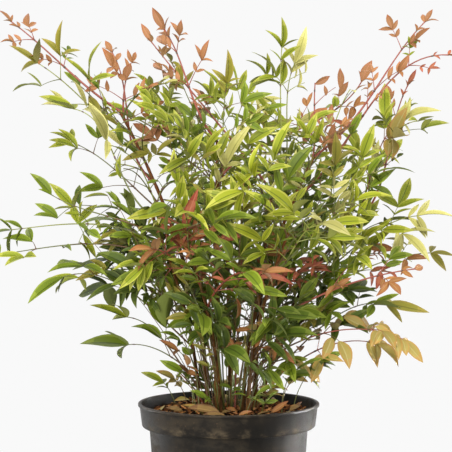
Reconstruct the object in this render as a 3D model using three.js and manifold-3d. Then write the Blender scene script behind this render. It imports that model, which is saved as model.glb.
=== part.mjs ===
// Heavenly bamboo (Nandina domestica) growing as one clump in a round plastic nursery pot.
// Units are millimetres, +Z is up, and the origin is the centre of the pot's flat underside.
// Thin canes rise out of the soil. Each cane carries compound leaves, called fronds here: a rib,
// pairs of side twigs at its joints, and three leaflets at the end of every twig.

import * as THREE from "three";
import { mergeVertices } from "three/addons/utils/BufferGeometryUtils.js";
import Module from "manifold-3d";

const wasm = await Module();
wasm.setup();

// ---------------------------------------------------------------- driving dimensions

const GAP = 0.3; // between a piece and what carries it
const WELD = 1e-4; // corners nearer than this are one corner
const SLIVER = 0.02; // edges shorter than this are closed up
const ROUND_SEGMENTS = 36; // facets round the pot and the soil
const SEED = 35; // of the first frond's chances
const SEED_STEP = 37; // from one frond's seed to the next one's

const POT = {
  height: 180,
  rimRadius: 112.5, // outside of the rolled lip
  lipDepth: 3.5,
  bandTopRadius: 110.6, // the wide collar below the lip
  bandFootRadius: 107.4,
  bandDepth: 29,
  shoulderRadius: 98.5, // the wall just under the collar
  baseRadius: 87,
  footBevel: 2,
  wall: 2,
  floor: 3,
  drainHoles: 6,
  drainRadius: 5,
  drainCircle: 66, // radius of the circle that the drain holes stand on
  drainSegments: 8,
};

const SOIL = {
  edgeDepth: 13, // below the rim, at the wall
  crownDepth: 9, // below the rim, where the canes stand
  flatRadius: 62,
};

const CANE = {
  sides: 6,
  steps: 8,
  collar: 0.03, // share of its length at which an extra ring ends the thick foot
  flare: 1.4, // how many times wider its foot is
  flareHeight: 14,
  upright: 0.36, // it leaves the soil straight up, with this share of its rise as handle
  bendAcross: 0.52, // the second handle's place, as a share of the way to the tip
  bendUp: 0.74, // and as a share of the rise
};

// Ribs, twigs and leaflets have three sides: a ridge above and two edges below.
const RIB = {
  steps: 7,
  rootRadius: 2.1,
  tipRadius: 1.3,
  launch: 0.36, // length of its curve's first handle, as a share of the span
  land: 0.34, // and of the last handle
  upCane: 0.75, // it sets out along its cane
  outward: 0.66, // and away from it
  clear: 1.2, // least air between two ribs or a rib and a cane
  swings: [0, 5, -5, 10, -10, 15, -15, 20, -20, 26, -26], // degrees tried until it is clear
  roll: [0.3, 0.9], // how far the frond's plane is turned about its rib, in radians
  leaving: 12, // length of a rib that may lie near its own cane
};

const TWIG = {
  radius: 0.85,
  angle: 58, // to its rib
  shorter: 0.2, // how much shorter the second pair of a rib is
  lift: 0.35, // out of the frond's plane, up or down
  raised: 0.12, // more up than down by this
  up: 0.25, // it is rooted this share of the rib's radius above the rib's middle
};

const LEAF = {
  base: 1.6, // length of stalk from which the side leaflets of a trio grow
  widest: 0.42, // where a leaflet is widest, as a share of its length
  width: 0.34, // share of its length
  ridge: 0.045, // height of the midrib, as a share of its length
  arch: 0.14, // how far the tip bends down
  droop: 0.22, // how far a leaflet leans down from the way of its shoot
  skyward: 0.5, // how far its upper face turns from its shoot's towards the sky
  tilt: 0.7, // how far it is turned about its own midrib, in radians
  tiltShares: [1, 0.5, 0, -0.5, -1], // shares of that, tried until it is clear
  sideAngle: 63, // of the side leaflets of a trio to their shoot
  endSize: 1.15, // size of a trio's end leaflet
  sideSize: 0.85, // and of its side leaflets
  clear: 0.35, // least air to another frond or a cane
  between: 0.25, // least air to another leaflet of the same frond
  touch: 1e-4, // volume that two leaflets may share where their roots meet
  rooted: 0.2, // share of its first stretch that may touch what carries it
};

// How far a size strays from its middle, as a share of it.
const STRAYS = {
  twigAngle: 0.2,
  twigLength: 0.18,
  sideAngle: 0.1,
  droop: 0.8,
  leaf: 0.1,
  leaflet: 0.16,
};

// Habits of fronds: at which half steps of its rib a frond carries pairs of twigs, and how long
// the first of them are.
const HABITS = {
  open: { at: [7, 11], spread: 38 },
  full: { at: [5, 8, 11], spread: 48 },
  sprig: { at: [7], spread: 32 },
};

// Canes: where each stands on the soil, where its tip is, and its radius at both ends.
// x and y are from the pot's axis, and height is above the rim.
const CANES = {
  left_tall: { foot: [-26, 6], tip: [-136, 14], height: 362, radius: [3.0, 1.6] },
  left: { foot: [-37, -8], tip: [-92, -62], height: 232, radius: [2.2, 1.5] },
  centre_left: { foot: [-15, -4], tip: [-14, -34], height: 322, radius: [3.5, 1.7] },
  centre_right: { foot: [33, 2], tip: [54, 14], height: 262, radius: [3.0, 1.8] },
  right_tall: { foot: [18, -9], tip: [112, -18], height: 318, radius: [2.6, 1.6] },
  right: { foot: [44, 14], tip: [146, 44], height: 212, radius: [2.3, 1.5] },
  back: { foot: [2, 32], tip: [-8, 128], height: 300, radius: [2.9, 1.6] },
  front_left: { foot: [-10, -27], tip: [-44, -112], height: 186, radius: [2.4, 1.5] },
  front_right: { foot: [24, -29], tip: [70, -108], height: 214, radius: [2.5, 1.5] },
};

// Fronds: the cane that each grows on, the share of that cane's length at which its rib leaves it,
// the compass direction of the rib's tip (degrees anticlockwise from +X), the tip's distance from
// the pot's axis and its height above the rim, the angle above level at which the rib ends, the
// length of a middling leaflet, the habit and the tint.
const newFrond = (cane, at, turn, reach, height, nod, leaf, habit, tint) => {
  return { cane, at, turn, reach, height, nod, leaf, habit, tint };
};
const FRONDS = {
  left_crest: newFrond("left_tall", 1, 177, 272, 474, 36, 27, "open", "bronze"),
  left_plume: newFrond("left_tall", 0.72, 166, 152, 438, 55, 26, "open", "bronze"),
  left_long: newFrond("left_tall", 0.84, 184, 236, 420, 30, 44, "open", "fresh"),
  left_arch: newFrond("left", 1, 191, 192, 362, 10, 48, "open", "fresh"),
  left_high: newFrond("left_tall", 0.6, 168, 205, 325, 20, 40, "full", "green"),
  left_mid: newFrond("left", 0.86, 197, 222, 258, 32, 42, "open", "green"),
  left_far: newFrond("left", 0.7, 183, 284, 184, -8, 44, "open", "green"),
  left_droop: newFrond("left", 0.3, 192, 205, 158, -20, 51, "open", "green"),
  left_low: newFrond("left", 0.12, 190, 128, 108, 6, 51, "sprig", "deep"),
  left_lowest: newFrond("left_tall", 0.06, 174, 128, 70, -8, 51, "sprig", "deep"),
  left_foot: newFrond("left", 0.08, 192, 68, 42, 30, 28, "sprig", "amber"),
  top_diagonal: newFrond("centre_right", 1, 167, 100, 450, 52, 27, "open", "bronze"),
  top_spear: newFrond("centre_left", 1, 210, 90, 458, 56, 26, "open", "bronze"),
  top_left: newFrond("back", 0.84, 146, 122, 396, 42, 40, "open", "green"),
  top_green: newFrond("centre_right", 0.84, 334, 72, 438, 76, 35, "open", "lime"),
  crown_left: newFrond("centre_left", 0.86, 196, 98, 372, 34, 42, "full", "fresh"),
  crown_centre: newFrond("centre_left", 0.74, 268, 62, 392, 58, 42, "full", "green"),
  crown_right: newFrond("centre_right", 0.68, 52, 104, 372, 44, 42, "full", "green"),
  right_bronze: newFrond("right_tall", 0.84, 14, 112, 398, 74, 28, "open", "bronze"),
  right_spire: newFrond("back", 0.94, 24, 188, 404, 60, 28, "open", "bronze"),
  right_crest: newFrond("right_tall", 0.95, 4, 246, 474, 44, 27, "open", "bronze"),
  right_whip: newFrond("right_tall", 0.76, 354, 270, 428, -4, 20, "open", "red"),
  right_red: newFrond("right", 1, 8, 228, 396, 62, 24, "open", "red"),
  right_amber: newFrond("right", 0.9, 348, 216, 346, 14, 42, "open", "amber"),
  right_high: newFrond("right", 0.78, 16, 236, 312, 8, 42, "open", "green"),
  right_shoulder: newFrond("right_tall", 0.6, 330, 140, 326, 22, 44, "open", "fresh"),
  right_broad: newFrond("front_right", 1, 330, 200, 284, 8, 46, "open", "fresh"),
  right_mid: newFrond("right", 0.64, 358, 234, 232, 6, 42, "open", "fresh"),
  right_far: newFrond("right", 0.5, 10, 262, 184, 2, 42, "open", "fresh"),
  right_rust: newFrond("front_right", 0.4, 340, 236, 170, 8, 40, "open", "red"),
  right_dark: newFrond("right", 0.14, 4, 198, 122, -8, 44, "open", "deep"),
  right_gold: newFrond("front_right", 0.2, 344, 218, 84, -26, 42, "open", "amber"),
  right_low: newFrond("centre_right", 0.14, 342, 108, 50, -34, 40, "sprig", "green"),
  front_high: newFrond("left_tall", 0.48, 216, 152, 308, 16, 44, "full", "fresh"),
  front_upper: newFrond("centre_left", 0.6, 250, 140, 300, 18, 46, "full", "lime"),
  front_glow: newFrond("front_right", 0.88, 280, 146, 282, 24, 46, "open", "lime"),
  front_lime: newFrond("front_left", 1, 252, 162, 238, 8, 48, "full", "lime"),
  front_right: newFrond("front_right", 0.66, 304, 190, 226, 0, 46, "full", "lime"),
  front_red_left: newFrond("front_left", 0.8, 240, 172, 196, 6, 42, "full", "red"),
  front_red: newFrond("front_left", 0.62, 276, 168, 170, 0, 40, "full", "red"),
  front_dark: newFrond("front_right", 0.12, 282, 138, 132, -10, 48, "full", "green"),
  front_low: newFrond("front_left", 0.14, 250, 132, 132, -8, 48, "full", "deep"),
  inner_left: newFrond("centre_left", 0.16, 218, 96, 186, 10, 46, "full", "deep"),
  back_left_high: newFrond("back", 0.9, 128, 220, 366, 24, 44, "open", "green"),
  back_left: newFrond("back", 0.62, 146, 240, 244, 4, 46, "open", "green"),
  back_high: newFrond("back", 1, 82, 196, 396, 36, 42, "full", "fresh"),
  back_mid: newFrond("back", 0.46, 92, 222, 226, 2, 46, "full", "green"),
  back_right: newFrond("back", 0.56, 40, 232, 290, 12, 46, "full", "green"),
  back_low: newFrond("back", 0.15, 112, 200, 120, -14, 48, "open", "deep"),
};

const FINISHES = {
  pot: { color: 0x2e2f30, roughness: 0.55 },
  soil: { color: 0x3d2a1e, roughness: 0.95 },
  cane: { color: 0x6b3f2a, roughness: 0.7 },
  deep: { color: 0x2f5a24, roughness: 0.5 },
  green: { color: 0x4c7d2c, roughness: 0.5 },
  fresh: { color: 0x7aa53a, roughness: 0.5 },
  lime: { color: 0xa9c437, roughness: 0.5 },
  amber: { color: 0xc0913c, roughness: 0.55 },
  bronze: { color: 0xa8633c, roughness: 0.55 },
  red: { color: 0xb4493a, roughness: 0.55 },
};

// ---------------------------------------------------------------- small tools

const radians = THREE.MathUtils.degToRad;
const UP = new THREE.Vector3(0, 0, 1);
const vec = (x, y, z) => new THREE.Vector3(x, y, z);
const mix = (a, b, t) => a + (b - a) * t;
const shares = (steps) => Array.from({ length: steps + 1 }, (_, i) => i / steps);

// start + the sum of each direction times its length
function along(start, ...steps) {
  const end = start.clone();
  for (const [direction, length] of steps) end.addScaledVector(direction, length);
  return end;
}

const sum = (...steps) => along(vec(0, 0, 0), ...steps);

// The same run of numbers from 0 to 1 for the same seed.
function seeded(seed) {
  let state = seed >>> 0;
  return () => {
    state = (state + 0x6d2b79f5) >>> 0;
    let t = state;
    t = Math.imul(t ^ (t >>> 15), t | 1);
    t ^= t + Math.imul(t ^ (t >>> 7), t | 61);
    return ((t ^ (t >>> 14)) >>> 0) / 4294967296;
  };
}

function solidFrom(geometry) {
  geometry.deleteAttribute("normal");
  geometry.deleteAttribute("uv");
  const merged = mergeVertices(geometry, WELD);
  return new wasm.Manifold(
    new wasm.Mesh({
      numProp: 3,
      vertProperties: merged.attributes.position.array,
      triVerts: new Uint32Array(merged.index.array),
    }),
  );
}

function geometryFrom(solid) {
  const made = solid.getMesh();
  const geometry = new THREE.BufferGeometry();
  geometry.setAttribute("position", new THREE.BufferAttribute(made.vertProperties, 3));
  geometry.setIndex(new THREE.BufferAttribute(made.triVerts, 1));
  geometry.computeVertexNormals();
  return geometry;
}

function geometryOf(points, faces) {
  const geometry = new THREE.BufferGeometry();
  const flat = points.flatMap((p) => [p.x, p.y, p.z]);
  geometry.setAttribute("position", new THREE.Float32BufferAttribute(flat, 3));
  geometry.setIndex(faces.flat());
  return geometry;
}

// Frames carried along a line without twisting: forwards, sideways, and out of the upper face.
function framesAlong(points, tangents, firstSide) {
  let side = firstSide;
  return points.map((centre, i) => {
    const forward = tangents[i];
    side = along(side, [forward, -side.dot(forward)]).normalize();
    return { centre, forward, side, face: forward.clone().cross(side) };
  });
}

// A ring of corners round a frame. The first one is on the upper face.
function ring({ centre, side, face }, radius, sides) {
  return Array.from({ length: sides }, (_, k) => {
    const angle = Math.PI / 2 + (2 * Math.PI * k) / sides;
    return along(centre, [side, radius * Math.cos(angle)], [face, radius * Math.sin(angle)]);
  });
}

// The two faces between four corners, or the one between three, split so that they bulge outwards.
function facesBetween(corners, a, b, c, d) {
  if (c === d) return [[a, b, c]];
  const [ab, ac, ad] = [b, c, d].map((corner) => corners[corner].clone().sub(corners[a]));
  const bulges = ab.cross(ac).dot(ad) <= 0;
  return bulges ? [[a, b, c], [a, c, d]] : [[a, b, d], [b, c, d]];
}

// A closed body of flat facets through rings of corners, ending in a tip if there is one.
function loft(rings, tip) {
  const sides = rings[0].length;
  const last = (rings.length - 1) * sides;
  const corners = [...rings.flat(), ...(tip ? [tip] : [])];
  const faces = [];
  for (let k = 0; k < sides; k++) {
    const next = (k + 1) % sides;
    for (let base = 0; base < last; base += sides) {
      const [a, b] = [base + k, base + next];
      faces.push(...facesBetween(corners, a, b, b + sides, a + sides));
    }
    if (tip) faces.push([last + k, last + next, last + sides]);
    if (k > 0 && next > 0) {
      faces.push([0, next, k]);
      if (!tip) faces.push([last, last + k, last + next]);
    }
  }
  return { corners, geometry: geometryOf(corners, faces) };
}

// ---------------------------------------------------------------- spaces and clearances

const PARALLEL = 1e-9; // two lines count as parallel below this
const TRIES = 60; // steps of the search for a plane between two lumps
const SETTLED = 1e-12; // squared length of a step that no longer moves that search

// The least distance between the line from a to b and the line from c to d.
function segmentDistance(a, b, c, d) {
  const u = b.clone().sub(a);
  const v = d.clone().sub(c);
  const w = a.clone().sub(c);
  const uu = u.dot(u);
  const uv = u.dot(v);
  const vv = v.dot(v);
  const uw = u.dot(w);
  const vw = v.dot(w);
  const clamp = THREE.MathUtils.clamp;
  const across = uu * vv - uv * uv;
  let s = across > PARALLEL ? clamp((uv * vw - vv * uw) / across, 0, 1) : 0;
  const t = clamp((uv * s + vw) / vv, 0, 1);
  s = clamp((uv * t - uw) / uu, 0, 1);
  return along(w, [u, s], [v, -t]).length();
}

// The least distance between two chains of points.
function chainDistance(first, second) {
  let least = Infinity;
  for (let i = 1; i < first.length; i++) {
    for (let k = 1; k < second.length; k++) {
      least = Math.min(least, segmentDistance(first[i - 1], first[i], second[k - 1], second[k]));
    }
  }
  return least;
}

// A convex lump, known by its corners.
function lump(corners) {
  const centre = corners.reduce((sum, p) => sum.add(p), vec(0, 0, 0)).divideScalar(corners.length);
  return { corners, centre, radius: Math.max(...corners.map((p) => p.distanceTo(centre))) };
}

const furthest = (corners, way) =>
  corners.reduce((best, p) => (p.dot(way) > best.dot(way) ? p : best));

// True if a plane with at least gap of air on it can be found between two lumps.
function apart(a, b, gap) {
  const between = a.centre.clone().sub(b.centre);
  if (between.length() > a.radius + b.radius + gap) return true;
  for (let step = 0; step < TRIES; step++) {
    const back = between.clone().negate();
    const reach = furthest(a.corners, back).clone().sub(furthest(b.corners, between));
    if (reach.dot(between) > gap * between.length()) return true;
    const move = reach.sub(between);
    if (move.lengthSq() < SETTLED) return false;
    const share = THREE.MathUtils.clamp(-between.dot(move) / move.lengthSq(), 0, 1);
    between.addScaledVector(move, share);
    if (between.length() < gap) return false;
  }
  return false;
}

// The lumps of a loft, one between each pair of rings.
function lumpsOf(rings) {
  return rings.slice(1).map((upper, i) => lump([...rings[i], ...upper]));
}

// ---------------------------------------------------------------- pot and soil

const COLLAR = POT.height - POT.bandDepth; // height of the collar's foot

// A profile of radii and heights, turned about the pot's axis.
function turned(profile) {
  const points = profile.map(([radius, z]) => new THREE.Vector2(radius, z));
  return new THREE.LatheGeometry(points, ROUND_SEGMENTS).rotateX(Math.PI / 2);
}

function potSolid() {
  const lip = POT.height - POT.lipDepth;
  const shell = turned([
    [0, 0],
    [POT.baseRadius - POT.footBevel, 0],
    [POT.baseRadius, POT.footBevel],
    [POT.shoulderRadius, COLLAR],
    [POT.bandFootRadius, COLLAR],
    [POT.bandTopRadius, lip],
    [POT.rimRadius, lip],
    [POT.rimRadius, POT.height],
    [POT.bandTopRadius - POT.wall, POT.height],
    [POT.bandFootRadius - POT.wall, COLLAR + POT.wall],
    [POT.shoulderRadius - POT.wall, COLLAR + POT.wall],
    [POT.baseRadius - POT.wall, POT.floor],
    [0, POT.floor],
  ]);
  let solid = solidFrom(shell);
  for (let i = 0; i < POT.drainHoles; i++) {
    const angle = (2 * Math.PI * (i + 0.5)) / POT.drainHoles;
    const { drainRadius: radius, drainSegments } = POT;
    const drill = new THREE.CylinderGeometry(radius, radius, 3 * POT.floor, drainSegments);
    drill.rotateX(Math.PI / 2);
    drill.translate(POT.drainCircle * Math.cos(angle), POT.drainCircle * Math.sin(angle), 0);
    solid = solid.subtract(solidFrom(drill));
  }
  return solid;
}

const SOIL_TOP = POT.height - SOIL.crownDepth;

function soilSolid() {
  const inner = POT.wall + GAP;
  const edge = POT.height - SOIL.edgeDepth;
  const bandAtEdge = mix(POT.bandFootRadius, POT.bandTopRadius, (edge - COLLAR) / POT.bandDepth);
  return solidFrom(
    turned([
      [0, POT.floor + GAP],
      [POT.baseRadius - inner, POT.floor + GAP],
      [POT.shoulderRadius - inner, COLLAR + inner],
      [POT.bandFootRadius - inner - GAP, COLLAR + inner],
      [bandAtEdge - inner - GAP, edge],
      [SOIL.flatRadius, SOIL_TOP],
      [0, SOIL_TOP],
    ]),
  );
}

// ---------------------------------------------------------------- canes

function makeCane(name) {
  const { foot, tip, height, radius } = CANES[name];
  const bottom = vec(foot[0], foot[1], SOIL_TOP + GAP);
  const top = vec(tip[0], tip[1], POT.height + height);
  const rise = top.z - bottom.z;
  const curve = new THREE.CubicBezierCurve3(
    bottom,
    along(bottom, [UP, CANE.upright * rise]),
    vec(
      mix(foot[0], tip[0], CANE.bendAcross),
      mix(foot[1], tip[1], CANE.bendAcross),
      bottom.z + CANE.bendUp * rise,
    ),
    top,
  );
  const radiusAt = (t) => {
    const flare = Math.max(0, 1 - (curve.getPoint(t).z - bottom.z) / CANE.flareHeight);
    return mix(radius[0], radius[1], t) * mix(1, CANE.flare, flare);
  };
  const places = [0, CANE.collar, ...shares(CANE.steps).slice(1)];
  const points = places.map((t) => curve.getPoint(t));
  const tangents = places.map((t) => (t > 0 ? curve.getTangent(t) : UP));
  const frames = framesAlong(points, tangents, vec(1, 0, 0));
  const rings = frames.map((frame, i) => ring(frame, radiusAt(places[i]), CANE.sides));

  // the room that a frond's rib leaves round the cane
  const room = frames.map((frame, i) =>
    ring(frame, (radiusAt(places[i]) + GAP) / Math.cos(Math.PI / CANE.sides), CANE.sides),
  );
  const lid = frames[frames.length - 1];
  room.push(room[room.length - 1].map((corner) => along(corner, [lid.forward, GAP])));
  return {
    curve,
    chain: points,
    geometry: loft(rings).geometry,
    lumps: lumpsOf(rings),
    room: loft(room).geometry,
  };
}

// ---------------------------------------------------------------- fronds

// The rib's curve, with its tip swung round the pot's axis by swing degrees.
function ribCurve(frond, cane, swing) {
  const root = cane.curve.getPoint(frond.at);
  const turn = radians(frond.turn + swing);
  const tip = vec(
    frond.reach * Math.cos(turn),
    frond.reach * Math.sin(turn),
    POT.height + frond.height,
  );
  const span = tip.distanceTo(root);
  const outward = vec(tip.x - root.x, tip.y - root.y, 0).normalize();
  const launch = sum([cane.curve.getTangent(frond.at), RIB.upCane], [outward, RIB.outward]);
  const nod = radians(frond.nod);
  const landing = sum([outward, Math.cos(nod)], [UP, Math.sin(nod)]);
  return new THREE.CubicBezierCurve3(
    root,
    along(root, [launch.normalize(), RIB.launch * span]),
    along(tip, [landing, -RIB.land * span]),
    tip,
  );
}

const ribRadius = (step) => mix(RIB.rootRadius, RIB.tipRadius, step / RIB.steps);

// The first swing at which the rib is clear of every cane and every rib before it.
function clearRib(name, canes, ribs) {
  const frond = FRONDS[name];
  for (const swing of RIB.swings) {
    const curve = ribCurve(frond, canes[frond.cane], swing);
    const chain = shares(RIB.steps).map((t) => curve.getPoint(t));
    const away = RIB.leaving / curve.getLength();
    const free = [curve.getPoint(away), ...chain.filter((_, i) => i / RIB.steps > away)];
    const touched =
      Object.entries(canes).some(
        ([other, cane]) =>
          chainDistance(other === frond.cane ? free : chain, cane.chain) <
          CANES[other].radius[0] + RIB.rootRadius + (other === frond.cane ? 0 : RIB.clear),
      ) || ribs.some((rib) => chainDistance(chain, rib.chain) < 2 * RIB.rootRadius + RIB.clear);
    if (!touched) return { name, curve, chain };
  }
  throw new Error(name + " finds no clear way: change its place on the cane");
}

// A rib or twig with the trio of leaflets that it may carry: one at its end and one to each side.
function shoot(frames, radii, trio) {
  const rings = frames.map((frame, i) => ring(frame, radii[i], 3));
  return { rings, trio, grown: {} };
}

// Every rib, twig and leaflet that the rule gives a frond.
function growFrond(name, rib, number) {
  const frond = FRONDS[name];
  const random = seeded(SEED + SEED_STEP * number);
  const about = (middle, share) => middle * (1 + share * (2 * random() - 1));
  const hand = random() < 0.5 ? -1 : 1;
  const roll = hand * mix(RIB.roll[0], RIB.roll[1], random());
  const halves = shares(2 * RIB.steps);
  const start = rib.curve.getTangent(0);
  const frames = framesAlong(
    halves.map((t) => rib.curve.getPoint(t)),
    halves.map((t) => rib.curve.getTangent(t)),
    UP.clone().cross(start).applyAxisAngle(start, roll),
  );

  function leaflet(centre, way, face, length) {
    const forward = along(way, [UP, -about(LEAF.droop, STRAYS.droop)]).normalize();
    const tilt = LEAF.tilt * (2 * random() - 1);
    const lit = along(face, [UP, LEAF.skyward]);
    const up = along(lit, [forward, -lit.dot(forward)]).normalize();
    return { centre, forward, face: up, tilt, length: about(length, STRAYS.leaflet) };
  }

  // three leaflets at the end of a rib or twig
  function trio({ centre, forward, side, face }, size) {
    const [minus, plus] = [-1, 1].map((hand) => {
      const aside = radians(about(LEAF.sideAngle, STRAYS.sideAngle));
      const way = sum([forward, Math.cos(aside)], [side, hand * Math.sin(aside)]);
      return leaflet(centre, way, face, size * LEAF.sideSize);
    });
    return { end: leaflet(centre, forward, face, size * LEAF.endSize), minus, plus };
  }

  const last = frames[frames.length - 1];
  const rings = frames.filter((_, half) => half % 2 === 0);
  rings.splice(-1, 0, { ...last, centre: along(last.centre, [last.forward, -LEAF.base]) });
  const radii = rings.map((_, i) => ribRadius(Math.min(i, RIB.steps)));
  const shoots = [shoot(rings, radii, trio(last, frond.leaf))];

  const { at, spread } = HABITS[frond.habit];
  at.forEach((half, index) => {
    const { centre, forward, side, face } = frames[half];
    for (const hand of [1, -1]) {
      const angle = radians(about(TWIG.angle, STRAYS.twigAngle));
      const lift = TWIG.lift * (2 * random() - 1) + TWIG.raised;
      const aside = hand * Math.sin(angle);
      const way = sum([forward, Math.cos(angle)], [side, aside], [face, lift]).normalize();
      const across = face.clone().cross(way).normalize();
      const frame = { forward: way, side: across, face: way.clone().cross(across) };
      const root = along(centre, [face, TWIG.up * ribRadius(half / 2)]);
      const length = about(spread * (1 - TWIG.shorter * index), STRAYS.twigLength);
      const places = [0, length - LEAF.base, length];
      const twig = places.map((place) => ({ ...frame, centre: along(root, [way, place]) }));
      const leaf = about(frond.leaf, STRAYS.leaf);
      shoots.push(shoot(twig, [TWIG.radius, TWIG.radius, TWIG.radius], trio(twig[2], leaf)));
    }
  });
  return shoots;
}

// The widest ring of a leaflet and its tip, with the leaflet turned about its midrib by a share
// of its own tilt.
function blade({ centre, forward, face: level, tilt, length }, share = 1) {
  const face = level.clone().applyAxisAngle(forward, tilt * share);
  const side = face.clone().cross(forward);
  const half = (LEAF.width * length) / 2;
  const middle = along(centre, [forward, LEAF.widest * length]);
  return {
    widest: [
      along(middle, [face, LEAF.ridge * length]),
      along(middle, [side, -half]),
      along(middle, [side, half]),
    ],
    tip: along(centre, [forward, length], [face, -LEAF.arch * length]),
  };
}

// Where the leaflets of a trio grow from the last stretch of their shoot: the corners of its two
// rings (0 to 2, then 3 to 5) that go round each root.
const ROOTS = { end: [3, 4, 5], minus: [0, 1, 4, 3], plus: [2, 0, 3, 5] };

// For each corner of a root, the corner of the blade's widest ring that it leads to, so that the
// skin between them is twisted least. On a root of four corners, two of them lead to the same one.
function leastTwist(root, widest) {
  const arms = (corners) => {
    const { centre } = lump(corners);
    return corners.map((corner) => corner.clone().sub(centre).normalize());
  };
  const [from, to] = [arms(root), arms(widest)];
  let best = { fit: -Infinity };
  for (let shared = 0; shared < root.length; shared++) {
    for (let shift = 0; shift < 3; shift++) {
      const step = (i) => (root.length > 3 && i > shared ? i - 1 : i);
      const match = root.map((_, i) => (shift + step(i)) % 3);
      const fit = match.reduce((sum, corner, i) => sum + from[i].dot(to[corner]), 0);
      if (fit > best.fit) best = { fit, match };
    }
  }
  return best.match;
}

// Adds a leaflet's skin to a body, from the corners round its root to its tip.
function addLeaflet(corners, faces, root, { widest, tip }) {
  const match = leastTwist(root.map((corner) => corners[corner]), widest);
  const first = corners.push(...widest, tip) - 4;
  match.forEach((corner, i) => {
    const next = (i + 1) % match.length;
    const [near, far] = [first + corner, first + match[next]];
    faces.push(...facesBetween(corners, root[i], root[next], far, near));
    if (near !== far) faces.push([near, far, first + 3]);
  });
}

// The closed body of a shoot with the leaflets that it has grown.
function shootSolid({ rings, grown }) {
  const corners = rings.flat();
  const stretch = corners.length - 6;
  const faces = [[0, 2, 1]];
  for (const [side, root] of Object.entries(ROOTS)) {
    const from = root.map((corner) => stretch + corner);
    if (grown[side]) addLeaflet(corners, faces, from, grown[side]);
    else faces.push(...facesBetween(corners, ...from, ...(side === "end" ? from.slice(2) : [])));
  }
  for (let base = 0; base <= stretch; base += 3) {
    for (let k = 0; k < 3; k++) {
      if (base === stretch && k !== 1) continue;
      const next = (k + 1) % 3;
      faces.push(
        ...facesBetween(corners, base + k, base + next, base + 3 + next, base + 3 + k),
      );
    }
  }
  return solidFrom(geometryOf(corners, faces));
}

// A leaflet of a trio as a body of its own, closed where it meets its shoot.
function leafletSolid(rings, side, leaf) {
  const stretch = rings.slice(-2).flat();
  const corners = ROOTS[side].map((corner) => stretch[corner]);
  const faces = corners.slice(2).map((_, i) => [0, i + 2, i + 1]);
  addLeaflet(corners, faces, [...corners.keys()], leaf);
  return solidFrom(geometryOf(corners, faces));
}

// True if a leaflet would pass through another one of its own trio.
function crosses(rings, grown, side, leaf) {
  const body = leafletSolid(rings, side, leaf);
  return Object.entries(grown).some(
    ([other, its]) => body.intersect(leafletSolid(rings, other, its)).volume() > LEAF.touch,
  );
}

// ---------------------------------------------------------------- the whole plant

const canes = {};
for (const name of Object.keys(CANES)) canes[name] = makeCane(name);

const ribs = [];
for (const name of Object.keys(FRONDS)) ribs.push(clearRib(name, canes, ribs));

// The upper part of the pot and its soil, as one block that no leaflet enters.
const BLOCK = { corners: 24, depth: 60 };
function blockCorners() {
  return [SOIL_TOP - BLOCK.depth, SOIL_TOP].flatMap((z) =>
    Array.from({ length: BLOCK.corners }, (_, i) => {
      const angle = (2 * Math.PI * i) / BLOCK.corners;
      return vec(POT.rimRadius * Math.cos(angle), POT.rimRadius * Math.sin(angle), z);
    }),
  );
}

const fronds = ribs.map((rib, number) => {
  const shoots = growFrond(rib.name, rib, number);
  return { name: rib.name, shoots, lumps: lumpsOf(shoots[0].rings) };
});

// what each node fills, so that a twig or leaflet of another one keeps clear of it
const filled = [
  { name: "soil", lumps: [lump(blockCorners())] },
  ...Object.entries(canes).map(([name, cane]) => ({ name, lumps: cane.lumps })),
  ...fronds,
];

// The lump between two sets of corners and a tip, if a frond may fill it. It keeps its distance
// from all other nodes, and past its root from the rest of its own frond.
function freeLump(frond, root, middle, tip = []) {
  const whole = lump([...root, ...middle, ...tip]);
  const start = root.map((corner, i) => corner.clone().lerp(middle[i], LEAF.rooted));
  const outer = lump([...start, ...middle, ...tip]);
  const free = filled.every(({ name, lumps }) => {
    const own = name === frond.name;
    return lumps.every((other) =>
      own ? apart(outer, other, LEAF.between) : apart(whole, other, LEAF.clear),
    );
  });
  return free ? whole : null;
}

// The lump of a leaflet on its shoot, if there is room for it.
function leafLump(frond, rings, side, { widest, tip }) {
  const stretch = rings.slice(-2).flat();
  const root = ROOTS[side].map((corner) => stretch[corner]);
  const middle = leastTwist(root, widest).map((corner) => widest[corner]);
  return freeLump(frond, root, middle, [tip]);
}

// Twigs with their end leaflets come first, so that they reach the frond's outline, and side
// leaflets then fill the room between them.
for (const frond of fronds) {
  for (const [number, twig] of frond.shoots.entries()) {
    const leaf = blade(twig.trio.end);
    const [root, , end] = twig.rings.slice(-3);
    const stalk = number === 0 ? frond.lumps[0] : freeLump(frond, root, end);
    const last = leafLump(frond, twig.rings, "end", leaf);
    twig.grows = number === 0 || Boolean(stalk && last);
    if (!twig.grows || !last) continue;
    twig.grown.end = leaf;
    frond.lumps.push(stalk, last);
  }
}
for (const frond of fronds) {
  for (const { rings, trio, grown } of frond.shoots.filter(({ grows }) => grows)) {
    for (const side of ["minus", "plus"]) {
      for (const share of LEAF.tiltShares) {
        const leaf = blade(trio[side], share);
        const taken = leafLump(frond, rings, side, leaf);
        if (!taken || crosses(rings, grown, side, leaf)) continue;
        grown[side] = leaf;
        frond.lumps.push(taken);
        break;
      }
    }
  }
}

const heavenlyBamboo = new THREE.Group();

function addNode(name, solid, finish) {
  const material = new THREE.MeshStandardMaterial({ ...FINISHES[finish], metalness: 0 });
  const mesh = new THREE.Mesh(geometryFrom(solid), material);
  mesh.name = name;
  heavenlyBamboo.add(mesh);
}

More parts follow.
